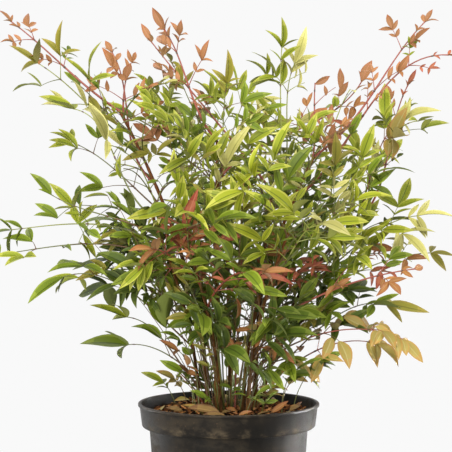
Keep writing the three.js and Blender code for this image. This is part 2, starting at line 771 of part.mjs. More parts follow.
addNode("pot", potSolid(), "pot");
addNode("soil", soilSolid(), "soil");
for (const [name, cane] of Object.entries(canes)) {
  addNode("cane_" + name, solidFrom(cane.geometry), "cane");
}
for (const { name, shoots } of fronds) {
  const room = solidFrom(canes[FRONDS[name].cane].room);
  const [rib, ...twigs] = shoots.filter(({ grows }) => grows).map(shootSolid);
  const whole = twigs.reduce((solid, twig) => solid.add(twig), rib);
  const bodies = whole.subtract(room).simplify(SLIVER).decompose();
  const frond = bodies.reduce((a, b) => (b.volume() > a.volume() ? b : a));
  addNode("frond_" + name, frond, FRONDS[name].tint);
}

export default heavenlyBamboo;
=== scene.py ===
"""A heavenly bamboo shrub in its round nursery pot.

The plant grows here by the rule of its solids, from the same sizes and seeds, and is carried on to
finer twigs and leaflets. Its sizes are millimetres, and become metres when a piece is made.
"""

import math
from types import SimpleNamespace

import bpy
import numpy as np
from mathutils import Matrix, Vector, noise


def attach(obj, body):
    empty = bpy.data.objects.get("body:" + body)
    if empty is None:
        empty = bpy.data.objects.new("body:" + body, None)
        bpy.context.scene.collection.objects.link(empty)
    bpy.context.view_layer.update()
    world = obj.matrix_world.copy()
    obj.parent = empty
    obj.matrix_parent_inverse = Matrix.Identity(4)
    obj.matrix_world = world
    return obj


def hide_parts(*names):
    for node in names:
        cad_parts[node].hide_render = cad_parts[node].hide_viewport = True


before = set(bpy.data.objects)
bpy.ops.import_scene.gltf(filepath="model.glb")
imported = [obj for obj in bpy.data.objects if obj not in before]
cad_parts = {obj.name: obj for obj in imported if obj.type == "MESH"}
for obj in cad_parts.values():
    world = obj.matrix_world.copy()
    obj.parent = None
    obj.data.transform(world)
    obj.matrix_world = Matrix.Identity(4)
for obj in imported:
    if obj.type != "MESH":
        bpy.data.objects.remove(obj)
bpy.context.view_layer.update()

MM = 0.001
UP = np.array([0.0, 0.0, 1.0])

# ---------------------------------------------------------------- camera, floor and light

CAMERA = SimpleNamespace(
    place=Vector((-3.3, -1850.0, 440.0)) * MM,
    aim=Vector((-3.3, 0.0, 399.0)) * MM,
    half_width=280.2 * MM,  # half of what it shows from side to side at its aim
)
WHITE = (0.947, 0.947, 0.947, 1)
# The floor, in metres: its grey as far out as near, which gives way to the backdrop's white at far.
FLOOR = SimpleNamespace(
    size=60.0,
    sides=96,
    level=-0.0002,
    near=0.3,
    far=0.6,
    colour=(0.44, 0.44, 0.44, 1),
)

# Lamps: place, aim and the side of the square that shines in metres, power in watts, spread in degrees.
LAMPS = {
    "key lamp": ((0.6, -1.35, 1.75), (0, 0, 0.4), 0.9, 48.0, 180),
    "fill lamp": ((-0.9, -1.6, 0.5), (0, 0, 0.25), 1.1, 38.0, 180),
    "back lamp": ((-0.5, 1.2, 1.9), (0, 0, 0.4), 0.9, 10.0, 180),
    "side lamp": ((1.5, 0.35, 0.35), (0, 0, 0.2), 0.8, 18.0, 180),
    "right pot lamp": ((1.4, 0.6, 0.04), (0, 0, 0.08), 0.4, 1.2, 12),
    "left pot lamp": ((-1.4, 0.7, 0.04), (0, 0, 0.08), 0.4, 0.3, 12),
}


def linked(name, data):
    """A new object that shows its data in the scene."""
    made = bpy.data.objects.new(name, data)
    bpy.context.scene.collection.objects.link(made)
    return made


def aimed(thing, place, aim):
    """The camera or lamp, put at a place and pointed at its aim."""
    thing.location = place
    thing.rotation_euler = (Vector(aim) - Vector(place)).to_track_quat("-Z", "Y").to_euler()
    return thing


def add_camera():
    """A camera in front of the plant, whose lens is worked out from what it shows."""
    data = bpy.data.cameras.new("camera")
    distance = (CAMERA.aim - CAMERA.place).length
    data.lens = data.sensor_width / 2 * distance / CAMERA.half_width
    bpy.context.scene.camera = aimed(linked("camera", data), CAMERA.place, CAMERA.aim)


add_camera()


# ---------------------------------------------------------------- small tools


class Chances:
    """The same run of numbers from 0 to 1 for the same seed."""

    MASK = 0xFFFFFFFF
    STEP = 0x6D2B79F5

    def __init__(self, seed):
        self.state = seed & self.MASK

    def __call__(self):
        self.state = (self.state + self.STEP) & self.MASK
        t = self.state
        t = (t ^ t >> 15) * (t | 1) & self.MASK
        t ^= t + (t ^ t >> 7) * (t | 61) & self.MASK
        return ((t ^ t >> 14) & self.MASK) / (self.MASK + 1)

    def between(self, low, high):
        return mix(low, high, self())

    def about(self, middle, share):
        return middle * (1 + share * (2 * self() - 1))

    def pick(self, shares):
        """One of the names, each as likely as its share says."""
        left = self() * sum(shares.values())
        for name, share in shares.items():
            left -= share
            if left < 0:
                return name
        return name


def mix(a, b, t):
    """What lies at a share of the way from a to b."""
    return a + (b - a) * t


def unit(vector):
    return vector / np.linalg.norm(vector)


def turned(vector, axis, angle):
    """The vector turned about a unit axis."""
    along = axis * (axis @ vector)
    return along + (vector - along) * math.cos(angle) + np.cross(axis, vector) * math.sin(angle)


def heading(turn):
    """The level way that is turned by so many radians from +X."""
    return np.array([math.cos(turn), math.sin(turn), 0])


class Curve:
    """A cubic curve between two points, led by two handles."""

    NUDGE = 1e-4
    PIECES = 200

    def __init__(self, *points):
        self.points = [np.array(point, float) for point in points]

    def at(self, t):
        a, b, c, d = self.points
        s = 1 - t
        return s**3 * a + 3 * s * s * t * b + 3 * s * t * t * c + t**3 * d

    def way(self, t):
        return unit(self.at(min(1, t + self.NUDGE)) - self.at(max(0, t - self.NUDGE)))

    def length(self):
        places = np.array([self.at(t) for t in np.linspace(0, 1, self.PIECES + 1)])
        return np.linalg.norm(np.diff(places, axis=0), axis=1).sum()


def frames_along(points, ways, first_side):
    """Frames carried along a line without twisting: centre, forwards, sideways and out of the face."""
    frames, side = [], first_side
    for centre, forward in zip(points, ways):
        side = unit(side - forward * (forward @ side))
        face = np.cross(forward, side)
        frames.append(SimpleNamespace(centre=centre, forward=forward, side=side, face=face))
    return frames


def chain_distance(first, second, parallel=1e-9):
    """The least distance between two chains of points."""
    a, u = first[:-1, None], np.diff(first, axis=0)[:, None]
    c, v = second[None, :-1], np.diff(second, axis=0)[None]
    w = a - c
    uu, uv, vv, uw, vw = ((p * q).sum(-1) for p, q in ((u, u), (u, v), (v, v), (u, w), (v, w)))
    across = uu * vv - uv * uv
    level = across <= parallel
    s = np.where(level, 0, np.clip((uv * vw - vv * uw) / np.where(level, 1, across), 0, 1))
    t = np.clip((uv * s + vw) / vv, 0, 1)
    s = np.clip((uv * t - uw) / uu, 0, 1)
    return np.linalg.norm(w + u * s[..., None] - v * t[..., None], axis=-1).min()


SHARP = math.radians(60)  # an edge that turns by more is sharp


class Body:
    """Vertices and faces of many small bodies that make one piece. Each face has the name of its finish."""

    def __init__(self):
        self.points, self.faces, self.finishes, self.count = [], [], [], 0

    def add(self, points, faces, finishes):
        self.faces += [[self.count + corner for corner in face] for face in faces]
        self.finishes += [finishes] * len(faces) if isinstance(finishes, str) else finishes
        self.points.append(np.asarray(points, float))
        self.count += len(points)

    def piece(self, name):
        """The object, in metres, smooth but for its sharp edges."""
        mesh = bpy.data.meshes.new(name)
        mesh.from_pydata((np.concatenate(self.points) * MM).tolist(), [], self.faces)
        names = sorted(set(self.finishes))
        for finish in names:
            mesh.materials.append(FINISHES[finish])
        mesh.polygons.foreach_set("material_index", [names.index(finish) for finish in self.finishes])
        mesh.polygons.foreach_set("use_smooth", [True] * len(self.faces))
        mesh.set_sharp_from_angle(angle=SHARP)
        mesh.validate()
        return linked(name, mesh)


def around(sides):
    """The angles of so many corners, evenly spread round a circle."""
    return 2 * math.pi * np.arange(sides) / sides


def skin_of_rings(rings, sides):
    """The faces of a closed body through rings of corners, with a flat cap at each end."""
    faces = []
    for first in range(0, (rings - 1) * sides, sides):
        for k in range(sides):
            a, b = first + k, first + (k + 1) % sides
            faces.append([a, b, b + sides, a + sides])
    last = (rings - 1) * sides
    return faces + [list(range(sides))[::-1], list(range(last, last + sides))]


ASKEW = 1e-3  # keeps an upright limb's side from being nothing


def tube(points, radii, sides):
    """Corners and faces of a round limb through points."""
    points = np.asarray(points, float)
    ways = np.gradient(points, axis=0)
    ways /= np.linalg.norm(ways, axis=1)[:, None]
    across = np.cross(UP, ways[0]) + ASKEW
    corners = []
    for limb, radius in zip(frames_along(points, ways, across), radii):
        angles = around(sides)
        ring = np.outer(np.cos(angles), limb.side) + np.outer(np.sin(angles), limb.face)
        corners.append(limb.centre + radius * ring)
    return np.concatenate(corners), skin_of_rings(len(points), sides)


def dress(piece, slot, *nodes):
    """The piece rides with the plant and stands for its solids, which are hidden. The slot is not used."""
    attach(piece, "root")
    if nodes:
        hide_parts(*nodes)


# ---------------------------------------------------------------- the pot's and the soil's sizes

GAP = 0.3  # between neighbouring solids
SOIL_TOP = 171  # of the solid, from which the canes rise
RIM = 180

POT = SimpleNamespace(
    sharp=40,
    height=RIM,
    rim_radius=112.5,
    lip_depth=3.5,
    band_top_radius=110.6,
    band_foot_radius=107.4,
    band_depth=29,
    shoulder_radius=98.5,
    base_radius=87,
    foot_bevel=2,
    wall=2,
    floor=3,
    drain_holes=6,
    drain_radius=5,
    drain_circle=66,
    drain_sides=24,
    segments=144,
)
COLLAR = POT.height - POT.band_depth
SOIL = SimpleNamespace(edge_depth=13, flat_radius=62, sunk=1.2, widening=1.2, rings=26, segments=96)
# Lumps of soil, by fractal noise: its scale and level, how its layers fade and grow finer, and its depth.
LUMPS = SimpleNamespace(scale=0.05, level=3, fade=0.8, finer=2.1, layers=4, depth=1.1)


def soil_height(x, y):
    """The soil's surface, mounded towards the canes and lumpy."""
    radius = math.hypot(x, y)
    edge = POT.height - SOIL.edge_depth
    slope = max(0, (radius - SOIL.flat_radius) / (POT.band_foot_radius - SOIL.flat_radius))
    place = Vector((x * LUMPS.scale, y * LUMPS.scale, LUMPS.level))
    lumps = noise.fractal(place, LUMPS.fade, LUMPS.finer, LUMPS.layers)
    return mix(SOIL_TOP, edge, min(1, slope)) - SOIL.sunk + LUMPS.depth * lumps


# ---------------------------------------------------------------- finishes


def linear(display):
    """A colour as Blender mixes it, from its red, green and blue on a screen, 0 to 255."""
    shares = [value / 255 for value in display]
    return (*(v / 12.92 if v <= 0.04045 else ((v + 0.055) / 1.055) ** 2.4 for v in shares), 1)


class Value:
    """A shader's number that takes part in Python sums."""

    def __init__(self, paint, socket):
        self.paint, self.socket = paint, socket

    def __add__(self, other):
        return self.paint.maths("ADD", self, other)

    __radd__ = __add__

    def __sub__(self, other):
        return self.paint.maths("SUBTRACT", self, other)

    def __rsub__(self, other):
        return self.paint.maths("SUBTRACT", other, self)

    def __mul__(self, other):
        return self.paint.maths("MULTIPLY", self, other)

    __rmul__ = __mul__


class Paint:
    """A finish: one shader and the nodes that vary it."""

    MIXED = (0, 6, 7)  # the Mix node's sockets for its factor and its two colours
    MIXTURE = 2  # and the one that gives the mixed colour

    def __init__(self, name, **constants):
        self.material = bpy.data.materials.new(name)
        self.material.use_nodes = True
        self.tree = self.material.node_tree
        self.shader = self.tree.nodes["Principled BSDF"]
        for socket, value in constants.items():
            self.shader.inputs[socket.replace("_", " ")].default_value = value

    def feed(self, socket, value):
        if isinstance(value, Value):
            self.tree.links.new(value.socket, socket)
        else:
            socket.default_value = value

    def node(self, kind, settings=(), inputs=(), output=0):
        """A node of a kind, with its settings set first, then its inputs, by name or number."""
        made = self.tree.nodes.new(kind)
        for name, value in dict(settings).items():
            if name == "stops":
                for place, colour in value[2:]:
                    made.color_ramp.elements.new(place)
                for element, (place, colour) in zip(made.color_ramp.elements, sorted(value)):
                    element.position, element.color = place, colour
            else:
                setattr(made, name, value)
        for name, value in dict(inputs).items():
            self.feed(made.inputs[name], value)
        return Value(self, made.outputs[output])

    def maths(self, operation, a, b):
        return self.node("ShaderNodeMath", {"operation": operation}, {0: a, 1: b})

    def place(self, scale=(1, 1, 1)):
        """Where a point is on the piece, in metres times scale."""
        where = self.node("ShaderNodeTexCoord", output="Object")
        return self.node("ShaderNodeMapping", inputs={"Vector": where, "Scale": scale})

    def height(self):
        return self.node("ShaderNodeSeparateXYZ", inputs={0: self.place()}, output="Z")

    def grain(self, scale, detail=3, stretch=(1, 1, 1), roughness=0.55):
        """Noise from 0 to 1, with so many grains to a metre."""
        inputs = {"Vector": self.place(stretch), "Scale": scale, "Detail": detail, "Roughness": roughness}
        return self.node("ShaderNodeTexNoise", inputs=inputs)

    def step(self, value, low, high):
        """0 below low, 1 above high and smooth between."""
        settings = {"interpolation_type": "SMOOTHSTEP"}
        inputs = {"Value": value, "From Min": low, "From Max": high}
        return self.node("ShaderNodeMapRange", settings, inputs)

    def ramp(self, value, *stops):
        """The colours of the stops, by value."""
        stops = [(place, linear(display)) for place, display in stops]
        return self.node("ShaderNodeValToRGB", {"stops": stops}, {"Fac": value})

    def blend(self, share, first, second):
        """The first colour, giving way to the second by share."""
        inputs = dict(zip(self.MIXED, (share, first, second)))
        return self.node("ShaderNodeMix", {"data_type": "RGBA"}, inputs, self.MIXTURE)

    def base(self, colour):
        self.feed(self.shader.inputs["Base Color"], colour)

    def rough(self, value):
        self.feed(self.shader.inputs["Roughness"], value)

    def relief(self, height, depth):
        """Bumps of a depth in millimetres."""
        inputs = {"Distance": depth * MM, "Height": height}
        self.feed(self.shader.inputs["Normal"], self.node("ShaderNodeBump", inputs=inputs))


FINISHES = {}

# Leaf tints: the blade, its midrib, its margin and tip, and its underside.
TINTS = {
    "deep": ((62, 76, 20), (46, 57, 15), (82, 92, 32), (86, 94, 46)),
    "green": ((84, 98, 19), (60, 72, 13), (106, 117, 36), (100, 110, 48)),
    "olive": ((108, 103, 34), (84, 80, 26), (122, 110, 46), (112, 108, 58)),
    "fresh": ((110, 118, 26), (76, 86, 16), (138, 139, 52), (120, 125, 58)),
    "lime": ((124, 130, 26), (84, 93, 16), (148, 148, 56), (132, 136, 66)),
    "pale": ((152, 147, 82), (128, 126, 66), (162, 157, 96), (152, 147, 94)),
    "amber": ((140, 124, 62), (152, 140, 86), (150, 118, 60), (150, 138, 84)),
    "rust": ((136, 92, 50), (150, 112, 70), (130, 80, 46), (144, 108, 70)),
    "bronze": ((138, 96, 60), (150, 102, 72), (138, 88, 54), (148, 112, 76)),
    "red": ((140, 80, 54), (152, 92, 66), (128, 60, 42), (146, 98, 72)),
    "dry": ((108, 84, 48), (124, 98, 60), (88, 62, 38), (110, 86, 56)),
}
SHADES = {"dark": 0.8, "middle": 0.98, "light": 1.14}
LEAF_GLOSS = {"Roughness": 0.5, "Specular_IOR_Level": 0.15}
UNDERSIDE_GLOSS = {"Roughness": 0.65, "Specular_IOR_Level": 0.18}
STALKS = {
    "stalk green": (78, 82, 26),
    "stalk lime": (116, 120, 46),
    "stalk brown": (84, 58, 22),
    "stalk red": (122, 54, 36),
    "stalk joint": (70, 42, 20),
}


def mix_leaf_finishes():
    """Plain leaf finishes, so that each spray keeps its own colour."""
    for tint, parts in TINTS.items():
        for shade, light in SHADES.items():
            for part, display in zip(("blade", "rib", "edge", "under"), parts):
                red, green, blue, alpha = linear(display)
                colour = (red * light, green * light, blue * light, alpha)
                gloss = UNDERSIDE_GLOSS if part == "under" else LEAF_GLOSS
                name = f"leaf {tint} {shade} {part}"
                FINISHES[name] = Paint(name, Base_Color=colour, **gloss).material
    for name, display in STALKS.items():
        FINISHES[name] = Paint(name, Base_Color=linear(display), Roughness=0.5).material


# Colours as a screen shows them, each with its place on the ramp of its grain.
OLD_BARK = ((0.3, (36, 22, 10)), (0.52, (80, 53, 24)), (0.72, (122, 86, 44)))
YOUNG_BARK = ((0.3, (78, 40, 18)), (0.7, (112, 68, 32)))
BARK_YOUNGER = (0.3, 0.46)  # bark grows younger between these heights, in metres
BLACK_PLASTIC = ((0.3, (9, 7, 4)), (0.7, (23, 18, 11)))
POT_DUST = (98, 85, 64)
POT_MUD = (112, 82, 56)
POT_RUBBED = (96, 80, 62)
# Dust lies at the collar's foot: it starts between the first two of these heights from there, in
# millimetres, and ends between the last two.
DUSTY_COLLAR = (-1, 2, 5, 13)
RUBBED_RIM = 1.5  # how far down the rim is rubbed
PEAT = ((0.3, (20, 14, 10)), (0.55, (46, 32, 22)), (0.8, (84, 60, 40)))
MULCHES = {
    "chip brown": ((44, 24, 12), (120, 74, 40)),
    "chip orange": ((112, 66, 32), (200, 142, 86)),
    "chip dark": ((14, 9, 6), (48, 31, 20)),
    "crumb": ((8, 5, 3), (32, 21, 12)),
}


def mix_bark():
    """Streaked bark, redder where a cane is young."""
    paint = Paint("cane bark", Specular_IOR_Level=0.1)
    streaks = paint.grain(260, 4, (1, 1, 0.12))
    patches = paint.grain(45, 3)
    age = paint.step(paint.height() + patches * 0.06, *BARK_YOUNGER)
    paint.base(paint.blend(age, paint.ramp(streaks, *OLD_BARK), paint.ramp(streaks, *YOUNG_BARK)))
    paint.rough(0.85 - 0.3 * age)
    paint.relief(streaks + patches * 0.4, 0.5)
    FINISHES["cane bark"] = paint.material


def mix_pot_plastic():
    """Black plastic, dusty on its collar and wall and rubbed at its rim."""
    paint = Paint("pot plastic", Specular_IOR_Level=0.15)
    cloud = paint.grain(22, 5)
    smears = paint.grain(105, 6, (0.55, 0.55, 1.0), 0.7)
    grit = paint.grain(520, 3)
    specks = paint.grain(1500, 2)
    height = paint.height()
    dust = paint.step(cloud * 0.5 + smears * 0.6, 0.5, 0.7)
    low, full, fading, high = ((COLLAR + rise) * MM for rise in DUSTY_COLLAR)
    collar = paint.step(height, low, full) * (1 - paint.step(height, fading, high))
    spots = paint.step(grit, 0.66, 0.72) * paint.step(cloud, 0.5, 0.62)
    worn = paint.step(height, (POT.height - RUBBED_RIM) * MM, POT.height * MM)
    plain = paint.ramp(cloud, *BLACK_PLASTIC)
    dusty = paint.blend(dust * (0.12 + 0.4 * collar), plain, linear(POT_DUST))
    muddy = paint.blend(spots * 0.5, dusty, linear(POT_MUD))
    rubbed = worn * paint.step(smears, 0.42, 0.6)
    paint.base(paint.blend(rubbed * 0.35, muddy, linear(POT_RUBBED)))
    paint.rough(0.36 + 0.3 * dust + 0.1 * specks)
    paint.relief(specks + smears * 1.6, 0.14)
    FINISHES["pot plastic"] = paint.material


def mix_soil():
    """Crumbly potting mix."""
    paint = Paint("potting soil", Roughness=0.95, Specular_IOR_Level=0.04)
    crumbs = paint.grain(420, 5)
    paint.base(paint.ramp(crumbs, *PEAT))
    paint.relief(crumbs, 1.2)
    FINISHES["potting soil"] = paint.material


def mix_mulch(name, dark, light):
    """Bark of one colour, streaked by its fibres."""
    paint = Paint(name, Roughness=0.85, Specular_IOR_Level=0.04)
    fibres = paint.grain(700, 4, (1, 0.35, 1))
    patches = paint.grain(60, 2)
    paint.base(paint.ramp(fibres * 0.6 + patches * 0.4, (0.34, dark), (0.66, light)))
    paint.relief(fibres, 0.4)
    FINISHES[name] = paint.material


mix_leaf_finishes()
mix_bark()
mix_pot_plastic()
mix_soil()
for mulch, colours in MULCHES.items():
    mix_mulch(mulch, *colours)


# ---------------------------------------------------------------- the plant's sizes

SEED = 35  # of the solids' rule, and how far apart its fronds' seeds are
SEED_STEP = 37
FINE_SEED = 5000  # of what is carried on beyond it
GOLDEN_TURN = 137.5  # from one leaf to the next round a clump

CANE = SimpleNamespace(
    steps=8,
    collar=0.03,
    flare=1.4,
    flare_height=14,
    upright=0.36,
    bend_across=0.52,
    bend_up=0.74,
    fill_points=60,
    fill_radius=1.6,
)
RIB = SimpleNamespace(
    steps=7,
    root_radius=2.1,
    launch=0.36,
    land=0.34,
    up_cane=0.75,
    outward=0.66,
    clear=1.2,
    swings=(0, 5, -5, 10, -10, 15, -15, 20, -20, 26, -26),
    roll=(0.3, 0.9),
    leaving=12,
)
TWIG = SimpleNamespace(angle=58, shorter=0.2, lift=0.35, raised=0.12)
LEAF = SimpleNamespace(base=1.6, droop=0.17, side_angle=63, end_size=1.15, side_size=0.85)
STRAYS = SimpleNamespace(
    twig_angle=0.2, twig_length=0.18, side_angle=0.1, droop=0.8, leaf=0.1, leaflet=0.26
)

# Habits: the half steps of a rib at which its twigs leave it, and the length of the first ones.
HABITS = {"open": ((7, 11), 38), "full": ((5, 8, 11), 48), "sprig": ((7,), 32), "young": ((6, 10), 20)}

# Canes: foot and tip from the pot's axis, height above the rim, radius at both ends.
CANES = {
    "left_tall": ((-26, 6), (-136, 14), 362, (3.0, 1.6)),
    "left": ((-37, -8), (-92, -62), 232, (2.2, 1.5)),
    "centre_left": ((-15, -4), (-14, -34), 322, (3.5, 1.7)),
    "centre_right": ((33, 2), (54, 14), 262, (3.0, 1.8)),
    "right_tall": ((18, -9), (112, -18), 318, (2.6, 1.6)),
    "right": ((44, 14), (146, 44), 212, (2.3, 1.5)),
    "back": ((2, 32), (-8, 128), 300, (2.9, 1.6)),
    "front_left": ((-10, -27), (-44, -112), 186, (2.4, 1.5)),
    "front_right": ((24, -29), (70, -108), 214, (2.5, 1.5)),
}

# Fronds: cane and share of its length, compass turn, reach and height above the rim of the tip, its
# nod in degrees, leaflet, habit and tint.
FRONDS = {
    "left_crest": ("left_tall", 1, 177, 272, 474, 36, 27, "open", "bronze"),
    "left_plume": ("left_tall", 0.72, 166, 152, 438, 55, 26, "open", "bronze"),
    "left_long": ("left_tall", 0.84, 184, 236, 420, 30, 44, "open", "fresh"),
    "left_arch": ("left", 1, 191, 192, 362, 10, 48, "open", "fresh"),
    "left_high": ("left_tall", 0.6, 168, 205, 325, 20, 40, "full", "green"),
    "left_mid": ("left", 0.86, 197, 222, 258, 32, 42, "open", "green"),
    "left_far": ("left", 0.7, 183, 284, 184, -8, 44, "open", "green"),
    "left_droop": ("left", 0.3, 192, 205, 158, -20, 51, "open", "green"),
    "left_low": ("left", 0.12, 190, 128, 108, 6, 51, "sprig", "deep"),
    "left_lowest": ("left_tall", 0.06, 174, 128, 70, -8, 51, "sprig", "deep"),
    "left_foot": ("left", 0.08, 192, 68, 42, 30, 28, "sprig", "amber"),
    "top_diagonal": ("centre_right", 1, 167, 100, 450, 52, 27, "open", "bronze"),
    "top_spear": ("centre_left", 1, 210, 90, 458, 56, 26, "open", "bronze"),
    "top_left": ("back", 0.84, 146, 122, 396, 42, 40, "open", "green"),
    "top_green": ("centre_right", 0.84, 334, 72, 438, 76, 35, "open", "lime"),
    "crown_left": ("centre_left", 0.86, 196, 98, 372, 34, 42, "full", "fresh"),
    "crown_centre": ("centre_left", 0.74, 268, 62, 392, 58, 42, "full", "green"),
    "crown_right": ("centre_right", 0.68, 52, 104, 372, 44, 42, "full", "green"),
    "right_bronze": ("right_tall", 0.84, 14, 112, 398, 74, 28, "open", "bronze"),
    "right_spire": ("back", 0.94, 24, 188, 404, 60, 28, "open", "bronze"),
    "right_crest": ("right_tall", 0.95, 4, 246, 474, 44, 27, "open", "bronze"),
    "right_whip": ("right_tall", 0.76, 354, 270, 428, -4, 20, "open", "red"),
    "right_red": ("right", 1, 8, 228, 396, 62, 24, "open", "red"),
    "right_amber": ("right", 0.9, 348, 216, 346, 14, 42, "open", "amber"),
    "right_high": ("right", 0.78, 16, 236, 312, 8, 42, "open", "green"),
    "right_shoulder": ("right_tall", 0.6, 330, 140, 326, 22, 44, "open", "fresh"),
    "right_broad": ("front_right", 1, 330, 200, 284, 8, 46, "open", "fresh"),
    "right_mid": ("right", 0.64, 358, 234, 232, 6, 42, "open", "fresh"),
    "right_far": ("right", 0.5, 10, 262, 184, 2, 42, "open", "fresh"),
    "right_rust": ("front_right", 0.4, 340, 236, 170, 8, 40, "open", "red"),
    "right_dark": ("right", 0.14, 4, 198, 122, -8, 44, "open", "deep"),
    "right_gold": ("front_right", 0.2, 344, 218, 84, -26, 42, "open", "amber"),
    "right_low": ("centre_right", 0.14, 342, 108, 50, -34, 40, "sprig", "green"),
    "front_high": ("left_tall", 0.48, 216, 152, 308, 16, 44, "full", "fresh"),
    "front_upper": ("centre_left", 0.6, 250, 140, 300, 18, 46, "full", "lime"),
    "front_glow": ("front_right", 0.88, 280, 146, 282, 24, 46, "open", "lime"),
    "front_lime": ("front_left", 1, 252, 162, 238, 8, 48, "full", "lime"),
    "front_right": ("front_right", 0.66, 304, 190, 226, 0, 46, "full", "lime"),
    "front_red_left": ("front_left", 0.8, 240, 172, 196, 6, 42, "full", "red"),
    "front_red": ("front_left", 0.62, 276, 168, 170, 0, 40, "full", "red"),
    "front_dark": ("front_right", 0.12, 282, 138, 132, -10, 48, "full", "green"),
    "front_low": ("front_left", 0.14, 250, 132, 132, -8, 48, "full", "deep"),
    "inner_left": ("centre_left", 0.16, 218, 96, 186, 10, 46, "full", "deep"),
    "back_left_high": ("back", 0.9, 128, 220, 366, 24, 44, "open", "green"),
    "back_left": ("back", 0.62, 146, 240, 244, 4, 46, "open", "green"),
    "back_high": ("back", 1, 82, 196, 396, 36, 42, "full", "fresh"),
    "back_mid": ("back", 0.46, 92, 222, 226, 2, 46, "full", "green"),
    "back_right": ("back", 0.56, 40, 232, 290, 12, 46, "full", "green"),
    "back_low": ("back", 0.15, 112, 200, 120, -14, 48, "open", "deep"),
}

# Fronds that stand thin and open.
SPARSE = set(
    "left_arch left_high left_mid left_low left_lowest left_long left_far left_droop front_high "
    "back_left back_left_high right_wing".split()
)
# The size of some fronds' leaflets beside that of their solids.
LEAFAGE = {
    name: size
    for size, names in {
        0.7: "back_low right_rust",
        0.75: "left_crest crown_centre",
        0.76: "right_shoulder front_high",
        0.8: "left_mid crown_right top_left right_broad back_left right_crest right_whip right_red",
        0.82: "crown_left top_diagonal",
        0.85: "back_high front_dark front_low",
        0.88: "back_right back_left_high",
        0.9: "left_plume front_upper front_glow front_lime front_right right_gold",
        0.92: "right_high",
        0.95: "left_high left_droop",
        0.98: "left_long",
        1.1: "left_low left_lowest",
    }.items()
    for name in names.split()
}
# Fronds whose leaflets reach up, or hang where this is below 0, and by how much.
LIFTED = {
    "left_mid": 0.6,
    "left_low": 0.45,
    "left_far": 0.4,
    "left_lowest": 0.35,
    "left_droop": -0.12,
    "right_gold": -0.5,
    "gold_low": -0.5,
    "gold_tuft": -0.6,
}
# Fronds whose leaflets are broader for their length, and how much.
BROAD = {"left_lowest": 1.4, "left_low": 1.2}
# Smaller fronds between the others, in rows of the same kind.
INNER_FRONDS = {
    "right_fill": ("right", 0.3, 352, 150, 140, 10, 34, "full", "green"),
    "right_under": ("front_right", 0.3, 315, 120, 120, 5, 34, "full", "green"),
    "right_inside": ("centre_right", 0.3, 20, 130, 170, 20, 36, "full", "green"),
    "right_behind": ("right", 0.2, 20, 120, 90, 0, 36, "open", "deep"),
    "right_knee": ("centre_right", 0.22, 330, 85, 60, -10, 30, "open", "amber"),
    "right_rise": ("centre_right", 0.5, 350, 110, 230, 30, 34, "full", "green"),
    "front_knee": ("front_right", 0.08, 290, 90, 60, 0, 32, "open", "deep"),
    "right_wing": ("right", 0.85, 5, 240, 345, 0, 34, "open", "fresh"),
    "right_plume": ("right_tall", 0.9, 20, 165, 392, 40, 34, "open", "fresh"),
    "right_lime": ("right", 0.55, 350, 190, 215, 5, 36, "full", "lime"),
    "right_front": ("front_right", 0.75, 325, 180, 250, 20, 34, "open", "lime"),
    "centre_fill": ("centre_left", 0.4, 290, 90, 210, 20, 34, "full", "green"),
    "centre_back": ("back", 0.3, 60, 110, 180, 20, 36, "full", "green"),
    "centre_knee": ("centre_left", 0.1, 265, 70, 110, 20, 30, "open", "deep"),
    "left_fill": ("left", 0.55, 188, 140, 225, 10, 38, "full", "green"),
    "left_under": ("left", 0.4, 184, 145, 178, 0, 38, "full", "deep"),
    "left_inside": ("left_tall", 0.2, 192, 140, 200, 0, 38, "full", "green"),
    "left_crown": ("left_tall", 0.62, 150, 95, 325, 30, 36, "full", "fresh"),
    "crown_peak": ("centre_right", 0.95, 8, 82, 420, 60, 36, "open", "fresh"),
    "right_tuft": ("right_tall", 0.85, 4, 190, 372, 20, 33, "open", "fresh"),
    "bronze_tuft": ("right_tall", 0.92, 10, 165, 388, 50, 26, "open", "bronze"),
    "crown_gap": ("centre_left", 0.8, 172, 96, 330, 30, 34, "full", "green"),
    "gold_tuft": ("right", 0.22, 344, 206, 104, -12, 34, "full", "amber"),
    "gold_low": ("right", 0.1, 350, 184, 76, -14, 36, "sprig", "amber"),
    "left_edge": ("left", 0.8, 178, 272, 214, -6, 40, "sprig", "fresh"),
    "left_sprig": ("left_tall", 0.9, 172, 190, 396, 40, 26, "sprig", "green"),
    "left_blush": ("left_tall", 0.96, 166, 130, 402, 50, 24, "sprig", "bronze"),
    "top_sprig": ("centre_left", 0.96, 160, 60, 396, 60, 28, "sprig", "green"),
    "right_sprig": ("right", 0.98, 14, 186, 362, 44, 30, "open", "amber"),
    "right_edge": ("right", 0.96, 6, 240, 350, 10, 32, "open", "fresh"),
    "right_reach": ("right", 0.7, 4, 196, 224, 10, 34, "sprig", "green"),
    "right_knot": ("centre_right", 0.96, 20, 102, 352, 50, 30, "open", "fresh"),
    "right_veil": ("right", 0.94, 6, 184, 338, 40, 32, "open", "fresh"),
}
# Young fronds, which leave the canes all the way up.
YOUNG = SimpleNamespace(
    first=0.3,  # the share of a cane from which they grow
    first_left=0.45,  # and of the left canes
    last=0.97,
    every=20,
    length=(46, 100),
    turn_stray=40,
    rise=(10, 60),
    leaf=(13, 27),
    clear_from=0.12,  # the share of a rib from which it has to be clear
    clear_steps=12,
    tints=((300, "deep"), (440, "green"), (math.inf, "fresh")),  # each up to a height
    seed=777,
    first_number=1000,  # their numbers start past this one
)

